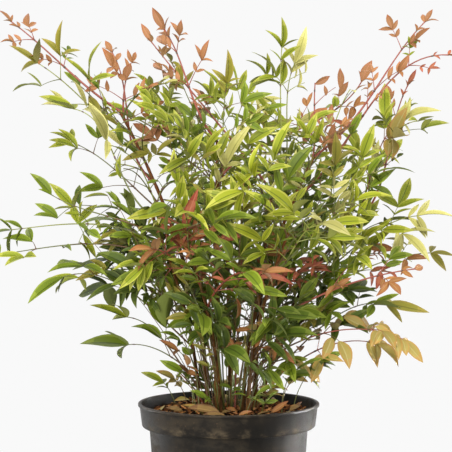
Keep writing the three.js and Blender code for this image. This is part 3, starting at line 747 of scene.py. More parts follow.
# Tints of a frond's sprays, with their shares: near its foot and near its tip.
SPRAYS = {
    "deep": ({"deep": 4, "green": 1, "olive": 1}, {"deep": 4, "green": 2, "olive": 1}),
    "green": ({"deep": 3, "green": 3, "olive": 1}, {"green": 4, "fresh": 1, "deep": 1, "olive": 0.4}),
    "fresh": ({"green": 3, "fresh": 2, "olive": 0.7}, {"fresh": 3, "green": 2, "olive": 0.3}),
    "lime": ({"green": 2, "fresh": 2}, {"lime": 3, "fresh": 2}),
    "amber": ({"fresh": 2, "amber": 3}, {"amber": 4, "pale": 1, "rust": 1}),
    "bronze": ({"green": 3, "olive": 1, "bronze": 1}, {"bronze": 5, "red": 1}),
    "red": ({"green": 3, "fresh": 1, "red": 1}, {"red": 4, "rust": 2, "green": 1}),
    "ember": ({"green": 3, "fresh": 1, "rust": 1}, {"rust": 4, "red": 1, "olive": 1, "green": 1}),
    "crest": ({"deep": 3, "green": 3}, {"bronze": 5, "rust": 1}),
    "blush": ({"green": 4, "fresh": 2}, {"green": 3, "fresh": 2, "rust": 1}),
    "foot": ({"green": 3, "rust": 1}, {"green": 2, "amber": 1, "rust": 1}),
    "dusk": ({"green": 2, "fresh": 2}, {"pale": 3, "amber": 1, "fresh": 1}),
}
# Fronds whose sprays aren't of the frond's own tint.
SPRAYS_OF = {
    "left_crest": "crest",
    "left_plume": "crest",
    "left_low": "fresh",
    "left_lowest": "fresh",
    "left_foot": "foot",
    "top_green": "green",
    "right_amber": "dusk",
    "right_rust": "ember",
    "front_red_left": "blush",
    "front_red": "blush",
    "front_dark": "deep",
    "inner_left": "green",
}
BACK = 200  # as far back as most of the patches reach
# Patches where the leafage has turned: how far back they reach, their middle and half size across and
# up, their tints and the share of their sprays that has turned.
TURNED = (
    (-70, (-50, 384), (46, 20), {"red": 5, "rust": 2}, 0.75),
    (-80, (6, 347), (34, 12), {"red": 4, "rust": 1}, 0.5),
    (40, (88, 342), (44, 15), {"red": 3, "rust": 1}, 0.7),
    (BACK, (196, 349), (38, 24), {"red": 2, "rust": 3}, 0.5),
    (0, (20, 240), (110, 32), {"rust": 3, "dry": 1, "olive": 2}, 0.3),
    (BACK, (160, 548), (60, 40), {"bronze": 4, "rust": 1}, 0.25),
    (BACK, (-90, 540), (50, 40), {"bronze": 3, "rust": 1}, 0.12),
    (BACK, (-164, 327), (20, 16), {"rust": 1, "amber": 1, "olive": 1}, 0.3),
    (BACK, (123, 520), (24, 28), {"bronze": 4, "rust": 1}, 0.6),
    (BACK, (198, 566), (26, 22), {"bronze": 4, "rust": 1}, 0.6),
    (BACK, (236, 546), (22, 10), {"amber": 3, "rust": 1}, 0.7),
    (BACK, (-163, 252), (48, 20), {"green": 1}, 1),
    (BACK, (54, 622), (46, 42), {"green": 3, "fresh": 1}, 0.9),
    (BACK, (-220, 448), (40, 34), {"deep": 2, "green": 1}, 1),
    (BACK, (-250, 366), (66, 50), {"green": 3, "fresh": 1}, 0.9),
)
# Open air inside the plant's outline: its middle and half size across and up, and the share of its
# leaflets that is missing.
OPENINGS = (
    ((-158, 461), (62, 24), 0.85),
    ((-190, 326), (24, 20), 0.4),
    ((-215, 395), (24, 30), 0.6),
    ((-79, 252), (22, 54), 0.55),
    ((112, 232), (44, 36), 0.4),
    ((-79, 432), (22, 20), 0.6),
    ((-115, 476), (36, 20), 0.5),
    ((128, 585), (42, 20), 0.7),
    ((216, 475), (26, 18), 0.5),
    ((-225, 547), (20, 18), 0.5),
    ((-42, 482), (18, 34), 0.35),
    ((-92, 248), (32, 42), 0.85),
    ((138, 256), (26, 20), 0.5),
    ((247, 354), (30, 20), 0.7),
    ((-89, 456), (28, 24), 0.8),
    ((-184, 555), (40, 20), 0.4),
    ((-200, 382), (28, 31), 0.5),
    ((-144, 505), (26, 22), 0.4),
    ((107, 555), (50, 24), 0.5),
    ((191, 456), (26, 24), 0.4),
    ((0, 290), (110, 40), 0.22),
)
# Stalks of each tint: near the foot of the rib and near its tip.
STALKS_OF = {
    "deep": ("stalk brown", "stalk green"),
    "green": ("stalk brown", "stalk green"),
    "fresh": ("stalk green", "stalk lime"),
    "lime": ("stalk green", "stalk lime"),
    "amber": ("stalk brown", "stalk red"),
    "bronze": ("stalk red", "stalk red"),
    "red": ("stalk red", "stalk red"),
}
STOUT = {"bronze": 1.35, "red": 1.35}  # ribs of these tints are thicker
# Leaflets of a tint: width as a share of their length, and their size beside the frond's own.
HABIT_OF = {
    "deep": (0.35, 0.95),
    "green": (0.33, 0.93),
    "olive": (0.31, 0.9),
    "fresh": (0.3, 0.92),
    "lime": (0.29, 0.92),
    "pale": (0.27, 0.95),
    "amber": (0.46, 1.0),
    "rust": (0.34, 0.85),
    "bronze": (0.38, 0.85),
    "red": (0.3, 0.9),
    "dry": (0.36, 1.0),
}
# Painted light and shade: the leafage's tint steps paler upwards and outwards, where light falls, and
# darker low and inside the crown, where shade falls, along this row by a step at most.
SHADE_TO_LIGHT_TINTS = ("deep", "green", "fresh", "pale")
PAINTED_LIGHT = SimpleNamespace(middle=398, above=150, below=290, out=140, reach=210, stray=1.1)


# ---------------------------------------------------------------- canes and ribs


def cane_curve(name):
    """A cane's middle line, which leaves the soil upright and leans out to its tip."""
    foot, tip, height, _ = CANES[name]
    bottom = np.array([*foot, SOIL_TOP + GAP])
    top = np.array([*tip, RIM + height])
    rise = top[2] - bottom[2]
    bend = [mix(a, b, CANE.bend_across) for a, b in zip(foot, tip)]
    bend.append(bottom[2] + CANE.bend_up * rise)
    return Curve(bottom, bottom + UP * CANE.upright * rise, bend, top)


def cane_radius(name, place, t):
    """A cane's radius at a place and share of its length, flared at the soil."""
    radius = CANES[name][3]
    flare = max(0, 1 - (place[2] - SOIL_TOP) / CANE.flare_height)
    return mix(*radius, t) * mix(1, CANE.flare, flare)


def rib_curve(frond, cane, swing):
    """A frond's rib, with its tip swung round the axis by so many degrees."""
    _, at, turn, reach, height, nod, *_ = frond
    root = cane.at(at)
    angle = math.radians(turn + swing)
    tip = reach * heading(angle) + UP * (RIM + height)
    span = np.linalg.norm(tip - root)
    outward = unit((tip - root) * [1, 1, 0])
    launch = unit(cane.way(at) * RIB.up_cane + outward * RIB.outward)
    landing = outward * math.cos(math.radians(nod)) + UP * math.sin(math.radians(nod))
    return Curve(root, root + launch * RIB.launch * span, tip - landing * RIB.land * span, tip)


def clear_rib(frond, canes, chains, ribs):
    """The rib at the first swing that is clear of every cane and earlier rib, if there is one."""
    own = frond[0]
    for swing in RIB.swings:
        rib = rib_curve(frond, canes[own], swing)
        shares = np.linspace(0, 1, RIB.steps + 1)
        chain = np.array([rib.at(t) for t in shares])
        away = RIB.leaving / rib.length()
        free = np.array([rib.at(away), *chain[shares > away]])
        touched = any(
            chain_distance(free if other == own else chain, chains[other])
            < CANES[other][3][0] + RIB.root_radius + (0 if other == own else RIB.clear)
            for other in canes
        ) or any(chain_distance(chain, earlier) < 2 * RIB.root_radius + RIB.clear for earlier in ribs)
        if not touched:
            ribs.append(chain)
            return rib
    return None


# ---------------------------------------------------------------- fronds

# What is carried on beyond the solids' rule.
FINE = SimpleNamespace(
    pair_at=(0.5, 0.62),  # share of a twig at which it bears one more pair of leaflets
    pair_size=0.74,
    long_twig=25,  # a twig shorter than this bears none
    late_pair=0.925,  # share of the rib at which it bears a last pair of leaflets
    late_size=0.8,
    branch_at=0.4,  # share of a full frond's first twigs at which they branch again
    branch_length=15,
    branch_size=0.62,
    branch_rise=(-0.2, 0.4),
    angle=52,
    rib_points=29,
    turning=1.5,  # the power of the place by which a rib's foot tints give way to its tip's
)
# Leaflets droop up to this height, hold level a span higher, and point up above that.
PERK = SimpleNamespace(low=350, span=100, most=1.15)
# A leaflet's upper face turns to the light, which is up, in front and out from the plant's axis.
FACING = SimpleNamespace(
    own=0.4, light=np.array([0.12, -0.62, 0.55]), outward=0.45, reach=70, tilt=0.6
)


class Spray:
    """A stalk, the share of its rib at which it stands, and the leaflets on it, all of one tint."""

    def __init__(self, path, place, leaflets):
        self.path, self.place, self.leaflets = path, place, leaflets


def grow_leaflet(random, centre, way, face, size):
    """Where a leaflet is, how it points and faces, and how long it is."""
    perk = min(1, max(-PERK.most, 1 - (centre[2] - PERK.low) / PERK.span))
    forward = unit(way - UP * random.about(LEAF.droop, STRAYS.droop) * perk)
    tilt = FACING.tilt * (2 * random() - 1)
    outward = centre * [1, 1, 0] / FACING.reach
    lit = face * FACING.own + FACING.light + outward * FACING.outward / max(1, np.linalg.norm(outward))
    up = unit(lit - forward * (forward @ lit))
    length = random.about(size, STRAYS.leaflet)
    return SimpleNamespace(centre=centre, forward=forward, face=up, tilt=tilt, length=length, breadth=1)


def grow_pair(random, limb, size, angle):
    """Two leaflets, one to each side of a limb."""
    pair = []
    for hand in (-1, 1):
        aside = math.radians(random.about(angle, STRAYS.side_angle))
        way = limb.forward * math.cos(aside) + limb.side * hand * math.sin(aside)
        pair.append(grow_leaflet(random, limb.centre, way, limb.face, size))
    return pair


def grow_trio(random, limb, size):
    """Three leaflets at the end of a rib or twig."""
    pair = grow_pair(random, limb, size * LEAF.side_size, LEAF.side_angle)
    for leaflet in pair:
        leaflet.centre = limb.centre - limb.forward * LEAF.base
    return [grow_leaflet(random, limb.centre, limb.forward, limb.face, size * LEAF.end_size), *pair]


def lifted(sprays, rise):
    """The same sprays with their leaflets raised."""
    for leaf in [leaf for spray in sprays for leaf in spray.leaflets if rise]:
        leaf.forward = unit(leaf.forward + UP * rise)
        face = leaf.face + FACING.light
        leaf.face, leaf.tilt = unit(face - leaf.forward * (leaf.forward @ face)), 0
    return sprays


def broadened(sprays, breadth):
    """The same sprays with their leaflets broader and shorter."""
    for leaf in [leaf for spray in sprays for leaf in spray.leaflets]:
        leaf.breadth = breadth
        leaf.length /= math.sqrt(breadth)
    return sprays


def twig_frame(limb, way):
    """The frame of a twig that leaves a limb, with its upper face turned like the limb's."""
    across = unit(np.cross(limb.face, way))
    return SimpleNamespace(centre=limb.centre, forward=way, side=across, face=np.cross(way, across))


def shifted(limb, rib, place):
    """A limb's frame, put at another place of its rib."""
    return SimpleNamespace(**{**vars(limb), "centre": rib.at(place), "forward": rib.way(place)})


def moved(limb, length):
    """A limb's frame, put farther along its own way."""
    return SimpleNamespace(**{**vars(limb), "centre": limb.centre + limb.forward * length})


def grow_twig(fine, root, length, leaf, place, trio, branches, sparse):
    """A twig's spray, carried on to a second pair of leaflets or to twigs of its own."""
    leaflets, sprays = list(trio), []
    if length > FINE.long_twig and not sparse:
        middle = moved(root, length * fine.between(*FINE.pair_at))
        leaflets += grow_pair(fine, middle, leaf * FINE.pair_size, FINE.angle)
    if branches:
        fork = moved(root, length * FINE.branch_at)
        for hand in (-1, 1):
            angle = math.radians(fine.about(FINE.angle, STRAYS.twig_angle))
            aside = fork.side * hand * math.sin(angle)
            rise = fork.face * fine.between(*FINE.branch_rise)
            way = unit(fork.forward * math.cos(angle) + aside + rise)
            branch = twig_frame(fork, way)
            end = moved(branch, fine.about(FINE.branch_length, STRAYS.twig_length))
            small = grow_trio(fine, end, leaf * FINE.branch_size)
            sprays.append(Spray([branch.centre, end.centre], place, small))
    return [Spray([root.centre, moved(root, length).centre], place, leaflets), *sprays]


def grow_frond(frond, rib, number, leafage=1, sparse=False):
    """Every spray of a frond: its rib's first, and then its twigs'."""
    *_, leaf, habit, _ = frond
    leaf *= leafage
    random, fine = Chances(SEED + SEED_STEP * number), Chances(FINE_SEED + number)
    hand = -1 if random() < 0.5 else 1
    roll = hand * random.between(*RIB.roll)
    halves = np.linspace(0, 1, 2 * RIB.steps + 1)
    start = rib.way(0)
    ways = [rib.way(t) for t in halves]
    limbs = frames_along([rib.at(t) for t in halves], ways, turned(np.cross(UP, start), start, roll))

    trio = grow_trio(random, limbs[-1], leaf)
    late = shifted(limbs[-1], rib, FINE.late_pair)
    pair = [] if sparse else grow_pair(fine, late, leaf * FINE.late_size, FINE.angle)
    sprays = [Spray([rib.at(t) for t in np.linspace(0, 1, FINE.rib_points)], 1, [*trio, *pair])]

    joints, spread = HABITS[habit]
    for index, half in enumerate(joints):
        limb = limbs[half]
        for hand in (1, -1):
            angle = math.radians(random.about(TWIG.angle, STRAYS.twig_angle))
            lift = TWIG.lift * (2 * random() - 1) + TWIG.raised
            aside = limb.side * hand * math.sin(angle)
            way = unit(limb.forward * math.cos(angle) + aside + limb.face * lift)
            root = twig_frame(limb, way)
            length = random.about(spread * (1 - TWIG.shorter * index), STRAYS.twig_length)
            size = random.about(leaf, STRAYS.leaf)
            grown = grow_trio(random, moved(root, length), size)
            branches = habit == "full" and index == 0 and not sparse
            sprays += grow_twig(fine, root, length, size, halves[half], grown, branches, sparse)
    return sprays


# ---------------------------------------------------------------- leaflets

BLADE = SimpleNamespace(
    swell=0.85,  # how fast its outline widens from its stalk
    taper=1.05,  # and how fast it narrows to its tip
    stalk=0.42,
    tip=0.05,
    rise=0.17,  # its midrib rises by this share of its length and falls again past its tip's level
    fall=0.28,
    arch=0.7,
    fold=(0.12, 0.62),
    twist=0.45,
    sickle=0.1,
    wave=0.007,
    waves=1.3,
    out_of_step=0.25,  # its two halves' waves are apart by twice this share of a wave
    thick=0.35,
    thinning=0.8,
    keel=0.4,
    keel_half=0.2,
    width_stray=0.14,
    tip_from=0.7,  # where the finish of its margin takes in the whole of its tip
    clear_from=0.12,  # it may touch what it grows from up to here
)
PEAK = BLADE.swell / (BLADE.swell + BLADE.taper)
WIDEST = PEAK**BLADE.swell * (1 - PEAK) ** BLADE.taper


class LeafNet:
    """The faces of a leaflet, with rows of corners from its stalk to its tip on both of its sides."""

    def __init__(self, stations, across):
        self.stations, self.across = np.array(stations), np.array(across)
        rows, columns = len(stations), len(across)
        middle = columns // 2 - 1

        def upper(i, j):
            return i * columns + j

        def lower(i, j):
            return upper(i, j) if j in (0, columns - 1) else rows * columns + i * (columns - 2) + j - 1

        self.faces, self.parts = [], []
        for i in range(rows - 1):
            for j in range(columns - 1):
                outer = (columns > 4 and j in (0, columns - 2)) or stations[i] > BLADE.tip_from
                for side in (upper, lower):
                    face = [side(i, j), side(i + 1, j), side(i + 1, j + 1), side(i, j + 1)]
                    self.faces.append(face if side is upper else [face[0], *face[:0:-1]])
                self.parts += ["rib" if j == middle else "edge" if outer else "blade", "under"]
        for i in (0, rows - 1):
            cap = [upper(i, j) for j in range(columns)] + [lower(i, j) for j in range(columns - 2, 0, -1)]
            self.faces.append(cap if i == 0 else cap[::-1])
            self.parts.append("rib")

    def corners(self, leaflet, width, random):
        """Its corners: folded along the midrib, arched, a little twisted and wavy."""
        s, v = self.stations[:, None, None], self.across[None, :, None]
        length, forward = leaflet.length, leaflet.forward
        face = turned(leaflet.face, forward, leaflet.tilt)
        side = np.cross(face, forward)
        outline = s**BLADE.swell * (1 - s) ** BLADE.taper / WIDEST
        width = random.about(width, BLADE.width_stray) * length
        half = width / 2 * outline + mix(BLADE.stalk, BLADE.tip, s)
        arch, fold = random.about(1, BLADE.arch), random.between(*BLADE.fold)
        turn = random.between(-1, 1) * BLADE.twist * s
        across = side * np.cos(turn) + face * np.sin(turn)
        up = face * np.cos(turn) - side * np.sin(turn)
        lift = length * arch * (BLADE.rise * s - BLADE.fall * s * s)
        sickle = random.between(-1, 1) * BLADE.sickle * length * s * s
        spine = leaflet.centre + forward * s * length + face * lift + side * sickle
        wave = np.sin(2 * np.pi * (BLADE.waves * s + random() + BLADE.out_of_step * np.sign(v)))
        ripple = BLADE.wave * length * outline * v * v * wave
        folded = up * (abs(v) * half * math.sin(fold) + ripple)
        upper = spine + across * v * half * math.cos(fold) + folded
        keel = BLADE.keel * (abs(v) < BLADE.keel_half) * (1 - s)
        depth = BLADE.thick * (1 - v * v) * (1 - BLADE.thinning * s) + keel
        lower = (upper - up * depth)[:, 1:-1]
        return np.concatenate([upper.reshape(-1, 3), lower.reshape(-1, 3)])

    def open_air(self, corners):
        """The margins of a leaflet past its root, which keep clear of other growth."""
        rows, columns = len(self.stations), len(self.across)
        upper = corners[: rows * columns].reshape(rows, columns, 3)
        upper = upper[self.stations > BLADE.clear_from]
        halfway = (upper[:-1] + upper[1:]) / 2
        return np.concatenate([upper, halfway])[:, [0, 1, -2, -1]].reshape(-1, 3)


LARGE_LEAF = LeafNet([0, 0.06, 0.16, 0.29, 0.43, 0.57, 0.71, 0.86, 1], [-1, -0.76, -0.1, 0.1, 0.76, 1])
SMALL_LEAF = LeafNet([0, 0.1, 0.3, 0.5, 0.72, 1], [-1, -0.1, 0.1, 1])
SMALL = 23  # a shorter leaflet than this has the plainer net

TILT_SHARES = (1, 0.5, 0, -0.5, -1)  # of a leaflet's own tilt, tried in turn until it has room
SHADE_SHARES = {"dark": 2, "middle": 3, "light": 2}
SHADE_STRAYS = 0.4  # share of the leaflets that aren't of their spray's shade


class Room:
    """The space that canes, ribs and leaflets fill, in cells, so that few leaflets cross others."""

    CELL = 2.4
    LEAST = 3  # a leaflet shares fewer cells than this with what was there before

    def __init__(self):
        self.cells = set()

    def keys(self, points):
        return {tuple(cell) for cell in np.floor(points / self.CELL).astype(int).tolist()}

    def fill(self, points):
        self.cells |= self.keys(points)

    def free(self, points):
        return len(self.keys(points) & self.cells) < self.LEAST


def between_points(path, step=1.5):
    """A path's points, close enough together to fill its room."""
    path = np.asarray(path, float)
    parts = []
    for a, b in zip(path[:-1], path[1:]):
        count = max(2, int(np.linalg.norm(b - a) / step) + 1)
        parts.append(a + (b - a) * np.linspace(0, 1, count)[:, None])
    return np.concatenate(parts)


def add_leaflet(body, room, leaflet, tint, shade, random):
    """Adds a leaflet if there is room for it, turned about its midrib if it has to be."""
    tilt = leaflet.tilt
    width, size = HABIT_OF[tint]
    leaflet.length *= size
    net = LARGE_LEAF if leaflet.length > SMALL else SMALL_LEAF
    if random() < SHADE_STRAYS:
        shade = random.pick(SHADE_SHARES)
    for share in TILT_SHARES:
        leaflet.tilt = tilt * share
        corners = net.corners(leaflet, width * leaflet.breadth, random)
        air = net.open_air(corners)
        if room.free(air):
            room.fill(air)
            body.add(corners, net.faces, [f"leaf {tint} {shade} {part}" for part in net.parts])
            return True
    return False


# ---------------------------------------------------------------- stalks and canes

STALK = SimpleNamespace(
    rib_root=1.2,
    rib_tip=0.5,
    sides=7,
    sheath=2.1,
    sheath_length=7,
    sheath_rings=(2.5, 5.0),
    joint_rings=(-1.8, 0, 1.8),
    joint_swell=0.4,
    joint_length=1.5,
    joint_reach=1.9,
    ring_middle=0.9,
    foot_share=0.42,  # the part of a rib that has the finish of its foot
    twig_root=0.66,
    twig=0.4,
    twig_sides=5,
)


def bowed(path, lift=0.05, steps=7):
    """A straight stalk, bowed up a little between its ends."""
    start, end = np.asarray(path, float)
    rise = lift * np.linalg.norm(end - start)
    return [mix(start, end, t) + UP * rise * 4 * t * (1 - t) for t in np.linspace(0, 1, steps)]


def add_rib(body, path, joints, finishes, thick):
    """A frond's rib, with a sheath at its root and swollen joints where its twigs leave it."""
    path = np.asarray(path, float)
    lengths = np.concatenate([[0], np.cumsum(np.linalg.norm(np.diff(path, axis=0), axis=1))])
    total = lengths[-1]
    nodes = [total * joint for joint in joints if joint < 1]
    rings = [node + ring for node in nodes for ring in STALK.joint_rings]
    places = sorted({*lengths.tolist(), *STALK.sheath_rings, *rings})
    places = [place for place in places if 0 <= place <= total]
    points = np.stack([np.interp(places, lengths, path[:, axis]) for axis in range(3)], axis=1)
    radii = []
    for place in places:
        radius = thick * mix(STALK.rib_root, STALK.rib_tip, place / total)
        nearness = ((place - total * joint) / STALK.joint_length for joint in joints)
        swelling = max(math.exp(-(near**2)) for near in nearness)
        sheath = max(0, 1 - place / STALK.sheath_length)
        radius *= 1 + STALK.joint_swell * swelling
        radii.append(mix(radius, STALK.sheath, sheath * sheath))
    corners, faces = tube(points, radii, STALK.sides)
    names = []
    for place in places[:-1]:
        own = finishes[0] if place < STALK.foot_share * total else finishes[1]
        near = min(abs(place + STALK.ring_middle - node) for node in nodes) < STALK.joint_reach
        names += ["stalk joint" if near else own] * STALK.sides
    body.add(corners, faces, names + list(finishes))


def add_twig(body, path, finish):
    """A side twig, thinnest from its middle on."""
    points = bowed(path)
    shares = [i * 2 / len(points) for i in range(len(points))]
    radii = [max(STALK.twig, mix(STALK.twig_root, STALK.twig, share)) for share in shares]
    body.add(*tube(points, radii, STALK.twig_sides), finish)


def tint_by_painted_light(tint, place, random):
    """The tint that a spray has at a place, if it is one of the greens: painted paler high and outside
    the crown as light, and darker low and inside it as shade.
    """
    if tint not in SHADE_TO_LIGHT_TINTS:
        return tint
    outer = max(0, math.hypot(place[0], place[1]) - PAINTED_LIGHT.out) / PAINTED_LIGHT.reach
    rise = place[2] - PAINTED_LIGHT.middle
    drift = rise / (PAINTED_LIGHT.above if rise > 0 else PAINTED_LIGHT.below) + outer
    drift += PAINTED_LIGHT.stray * (random() - 0.5)
    step = SHADE_TO_LIGHT_TINTS.index(tint) + round(max(-1, min(1, drift)))
    return SHADE_TO_LIGHT_TINTS[max(0, min(len(SHADE_TO_LIGHT_TINTS) - 1, step))]


def within(place, middle, half):
    """Whether a place lies in a patch, which is an ellipse seen from the front."""
    return math.hypot((place[0] - middle[0]) / half[0], (place[2] - middle[1]) / half[1]) < 1


def missing(place, random):
    """Whether a leaflet or stalk is left out, to open the leafage."""
    return any(within(place, middle, half) and random() < share for middle, half, share in OPENINGS)


def turned_tint(tint, place, random):
    """The tint that a spray has at a place, where the leafage has turned."""
    for furthest, middle, half, tints, share in TURNED:
        if place[1] < furthest and within(place, middle, half) and random() < share:
            return random.pick(tints)
    return tint


def add_frond(sprays, room, tint, number, stalks, leaves, kind=None):
    """Adds a frond's stalks and leaflets to two bodies, in its own tints or those of another kind."""
    foot, tip = STALKS_OF[tint]
    random = Chances(FINE_SEED * 2 + number)
    joints = sorted({spray.place for spray in sprays[1:]}) + [FINE.late_pair, 1]
    add_rib(stalks, sprays[0].path, joints, (foot, tip), STOUT.get(tint, 1))
    for index, spray in enumerate(sprays):
        late = int(random() < spray.place**FINE.turning)
        end = spray.path[-1]
        # A green spray's tint is stepped by its place, as painted light and shade.
        spray_tint = tint_by_painted_light(random.pick(SPRAYS[kind or tint][late]), end, random)
        spray_tint = turned_tint(spray_tint, end, random)
        shade = random.pick(SHADE_SHARES)
        grown = []
        for leaf in spray.leaflets:
            middle = leaf.centre + leaf.forward * leaf.length / 2
            if not missing(middle, random):
                grown.append(add_leaflet(leaves, room, leaf, spray_tint, shade, random))
        if index and any(grown):
            add_twig(stalks, spray.path, tip if late else foot)


BARK = SimpleNamespace(
    sides=18,
    step=2.4,
    furrow=0.16,
    grain_across=1.7,
    grain_up=0.09,
    grain_shift=0.3,
    first_joint=(12, 26),
    joint=(24, 36),
    joint_length=1.7,
    swell=0.22,
    slimming=0.5,  # joints swell less by this share at the tip
)
# The stubs of fallen leaf stalks, which some of the joints bear up to a share of the cane's length.
STUB = SimpleNamespace(
    share=0.6, up_to=0.8, reach=(3, 9), steep=0.75, lift=0.1, radii=(0.9, 0.8, 0.5), sides=6
)


def add_cane(name, cane):
    """A cane with furrowed bark, ringed joints and the stubs of fallen leaf stalks."""
    random = Chances(FINE_SEED * 3 + list(CANES).index(name))
    length = cane.length()
    count = int(length / BARK.step)
    shares = np.linspace(0, 1, count)
    rings = []
    place = random.between(*BARK.first_joint)
    while place < length:
        rings.append(place)
        place += random.between(*BARK.joint)
    points = [cane.at(t) for t in shares]
    corners, faces = tube(points, np.ones(count), BARK.sides)
    corners = corners.reshape(count, BARK.sides, 3)
    for i, t in enumerate(shares):
        centre = points[i]
        radius = cane_radius(name, centre, t)
        nearness = ((t * length - ring) / BARK.joint_length for ring in rings)
        joint = sum(math.exp(-(near**2)) for near in nearness)
        up = place * BARK.grain_shift + centre[2] * BARK.grain_up
        for k in range(BARK.sides):
            out = corners[i, k] - centre
            grain = noise.noise(Vector((*out[:2] * BARK.grain_across, up)))
            thick = 1 + BARK.furrow * grain + BARK.swell * joint * (1 - BARK.slimming * t)
            corners[i, k] = centre + out * radius * thick
    body = Body()
    body.add(corners.reshape(-1, 3), faces, "cane bark")
    for ring in rings:
        if random() > STUB.share or ring > STUB.up_to * length:
            continue
        t = ring / length
        centre = cane.at(t)
        out = unit(heading(random.between(0, 2 * math.pi)) + UP * STUB.steep)
        reach = random.between(*STUB.reach)
        radius = cane_radius(name, centre, t)
        middle = centre + out * (radius + reach * 0.5)
        end = centre + out * (radius + reach) + UP * STUB.lift * reach
        body.add(*tube([centre, middle, end], STUB.radii, STUB.sides), "cane bark")
    dress(body.piece(f"bark_{name}"), "cane", f"cane_{name}")


# ---------------------------------------------------------------- leaf stalks that rise from the soil

# Kinds of leaf stalk: how many there are, the ring of their feet round the axis, their height, how far
# they lean as a share of it, their radius, and the length and tints of their leaflets.
BASAL = {
    "inner": SimpleNamespace(
        count=35,
        ring=(3, 28),
        height=(90, 240),
        lean=(0.2, 0.75),
        radius=(0.55, 0.85),
        leaf=(22, 38),
        tints={"deep": 2, "green": 6, "fresh": 2, "rust": 1, "dry": 0.5},
    ),
    "low": SimpleNamespace(
        count=11,
        ring=(10, 44),
        height=(30, 96),
        lean=(0.3, 0.95),
        radius=(0.5, 0.7),
        leaf=(18, 30),
        tints={"deep": 1, "green": 4, "fresh": 1, "amber": 1.5, "rust": 1, "dry": 1},
    ),
    "tall": SimpleNamespace(
        count=36,
        ring=(3, 34),
        height=(220, 350),
        lean=(0.1, 0.5),
        radius=(0.6, 0.85),
        leaf=(20, 30),
        tints={"green": 3, "fresh": 3, "olive": 1},
    ),
}
# What all kinds share.
CLUMP = SimpleNamespace(
    turn_stray=0.6,
    crowding=0.7,  # below 1 their feet crowd to the outside of their ring
    flat=0.8,  # the clump is narrower from front to back
    buried=5,
    middle=0.6,  # where a stalk is looked at besides its tip, to leave out those in open air
    foot_lean=0.6,  # how far its foot and its tip lean, beside the lean of the whole
    tip_lean=1.2,
    launch=0.4,
    land=0.3,
    tip_radius=0.55,  # beside that of its foot
    steps=15,
    sides=6,
    finishes={"stalk green": 5, "stalk brown": 3, "stalk red": 0.5},
    roll=0.3,
    pairs=(0.7, 0.86),
    pair_size=0.8,
)


def add_soil_stalk(stalks, rib, steps, radii, finish):
    """Adds a stalk that rises from the soil, and gives its path."""
    path = [rib.at(t) for t in np.linspace(0, 1, steps)]
    stalks.add(*tube(path, np.linspace(*radii, steps), CLUMP.sides), finish)
    return path


def grow_end(random, rib, outward, roll, size, pairs, pair_size):
    """The leaflets of a stalk: three at its tip and a pair at each of some shares of its length."""
    side = unit(np.cross(UP, outward) + roll * outward)
    limb = frames_along([rib.at(1)], [rib.way(1)], side)[0]
    grown = grow_trio(random, limb, size)
    for place in pairs:
        grown += grow_pair(random, shifted(limb, rib, place), size * pair_size, FINE.angle)
    return grown


def add_basal_leaves(kind, random, room, stalks, leaves):
    """Slender leaf stalks that rise from the soil round the canes, with a few leaflets at their ends."""
    for number in range(kind.count):
        turn = math.radians(GOLDEN_TURN) * number + CLUMP.turn_stray * random()
        away = mix(*kind.ring, ((number + random()) / kind.count) ** CLUMP.crowding)
        outward = heading(turn)
        foot = np.array([1, CLUMP.flat, 1]) * away * outward + UP * (SOIL_TOP - CLUMP.buried)
        height, lean = random.between(*kind.height), random.between(*kind.lean)
        tip = foot + UP * height + outward * height * lean
        if missing(tip, random) or missing(mix(foot, tip, CLUMP.middle), random):
            continue
        launch = (UP + outward * CLUMP.foot_lean * lean) * CLUMP.launch * height
        landing = (UP + outward * CLUMP.tip_lean * lean) * CLUMP.land * height
        rib = Curve(foot, foot + launch, tip - landing, tip)
        thick = random.between(*kind.radius)
        finish = random.pick(CLUMP.finishes)
        radii = thick, CLUMP.tip_radius * thick
        room.fill(between_points(add_soil_stalk(stalks, rib, CLUMP.steps, radii, finish)))
        size = random.between(*kind.leaf)
        tint = turned_tint(random.pick(kind.tints), tip, random)
        shade = random.pick(SHADE_SHARES)
        grown = grow_end(random, rib, outward, CLUMP.roll, size, CLUMP.pairs, CLUMP.pair_size)
        for leaflet in grown:
            if not missing(leaflet.centre + leaflet.forward * leaflet.length / 2, random):
                add_leaflet(leaves, room, leaflet, tint, shade, random)


# Sprouts round the canes: foot, height, the compass turn and reach of their lean, leaflet and tint.
SPROUTS = (
    ((-12, -62), 24, 200, 16, 26, "green"),
    ((20, -60), 26, 335, 14, 26, "green"),
    ((38, -66), 20, 300, 12, 26, "green"),
    ((64, -48), 52, 325, 16, 38, "green"),
    ((78, -30), 64, 350, 34, 34, "green"),
    ((-44, -22), 76, 190, 18, 32, "rust"),
    ((-40, -32), 52, 200, 18, 30, "green"),
    ((-50, -14), 38, 180, 16, 26, "amber"),
    ((-36, -36), 90, 205, 26, 34, "green"),
    ((-20, 60), 40, 110, 20, 28, "green"),
    ((30, 56), 56, 60, 24, 30, "green"),
    ((66, 30), 34, 20, 18, 26, "amber"),
    ((-66, 24), 30, 160, 18, 26, "fresh"),
    ((4, 74), 24, 90, 10, 24, "amber"),
)
SPROUT = SimpleNamespace(
    buried=6,
    launch=0.45,
    landing=(0.6, 0.4),  # outwards and up
    land=0.4,
    radii=(0.7, 0.42),
    steps=9,
    roll=0.2,
    pairs=(0.72,),
)
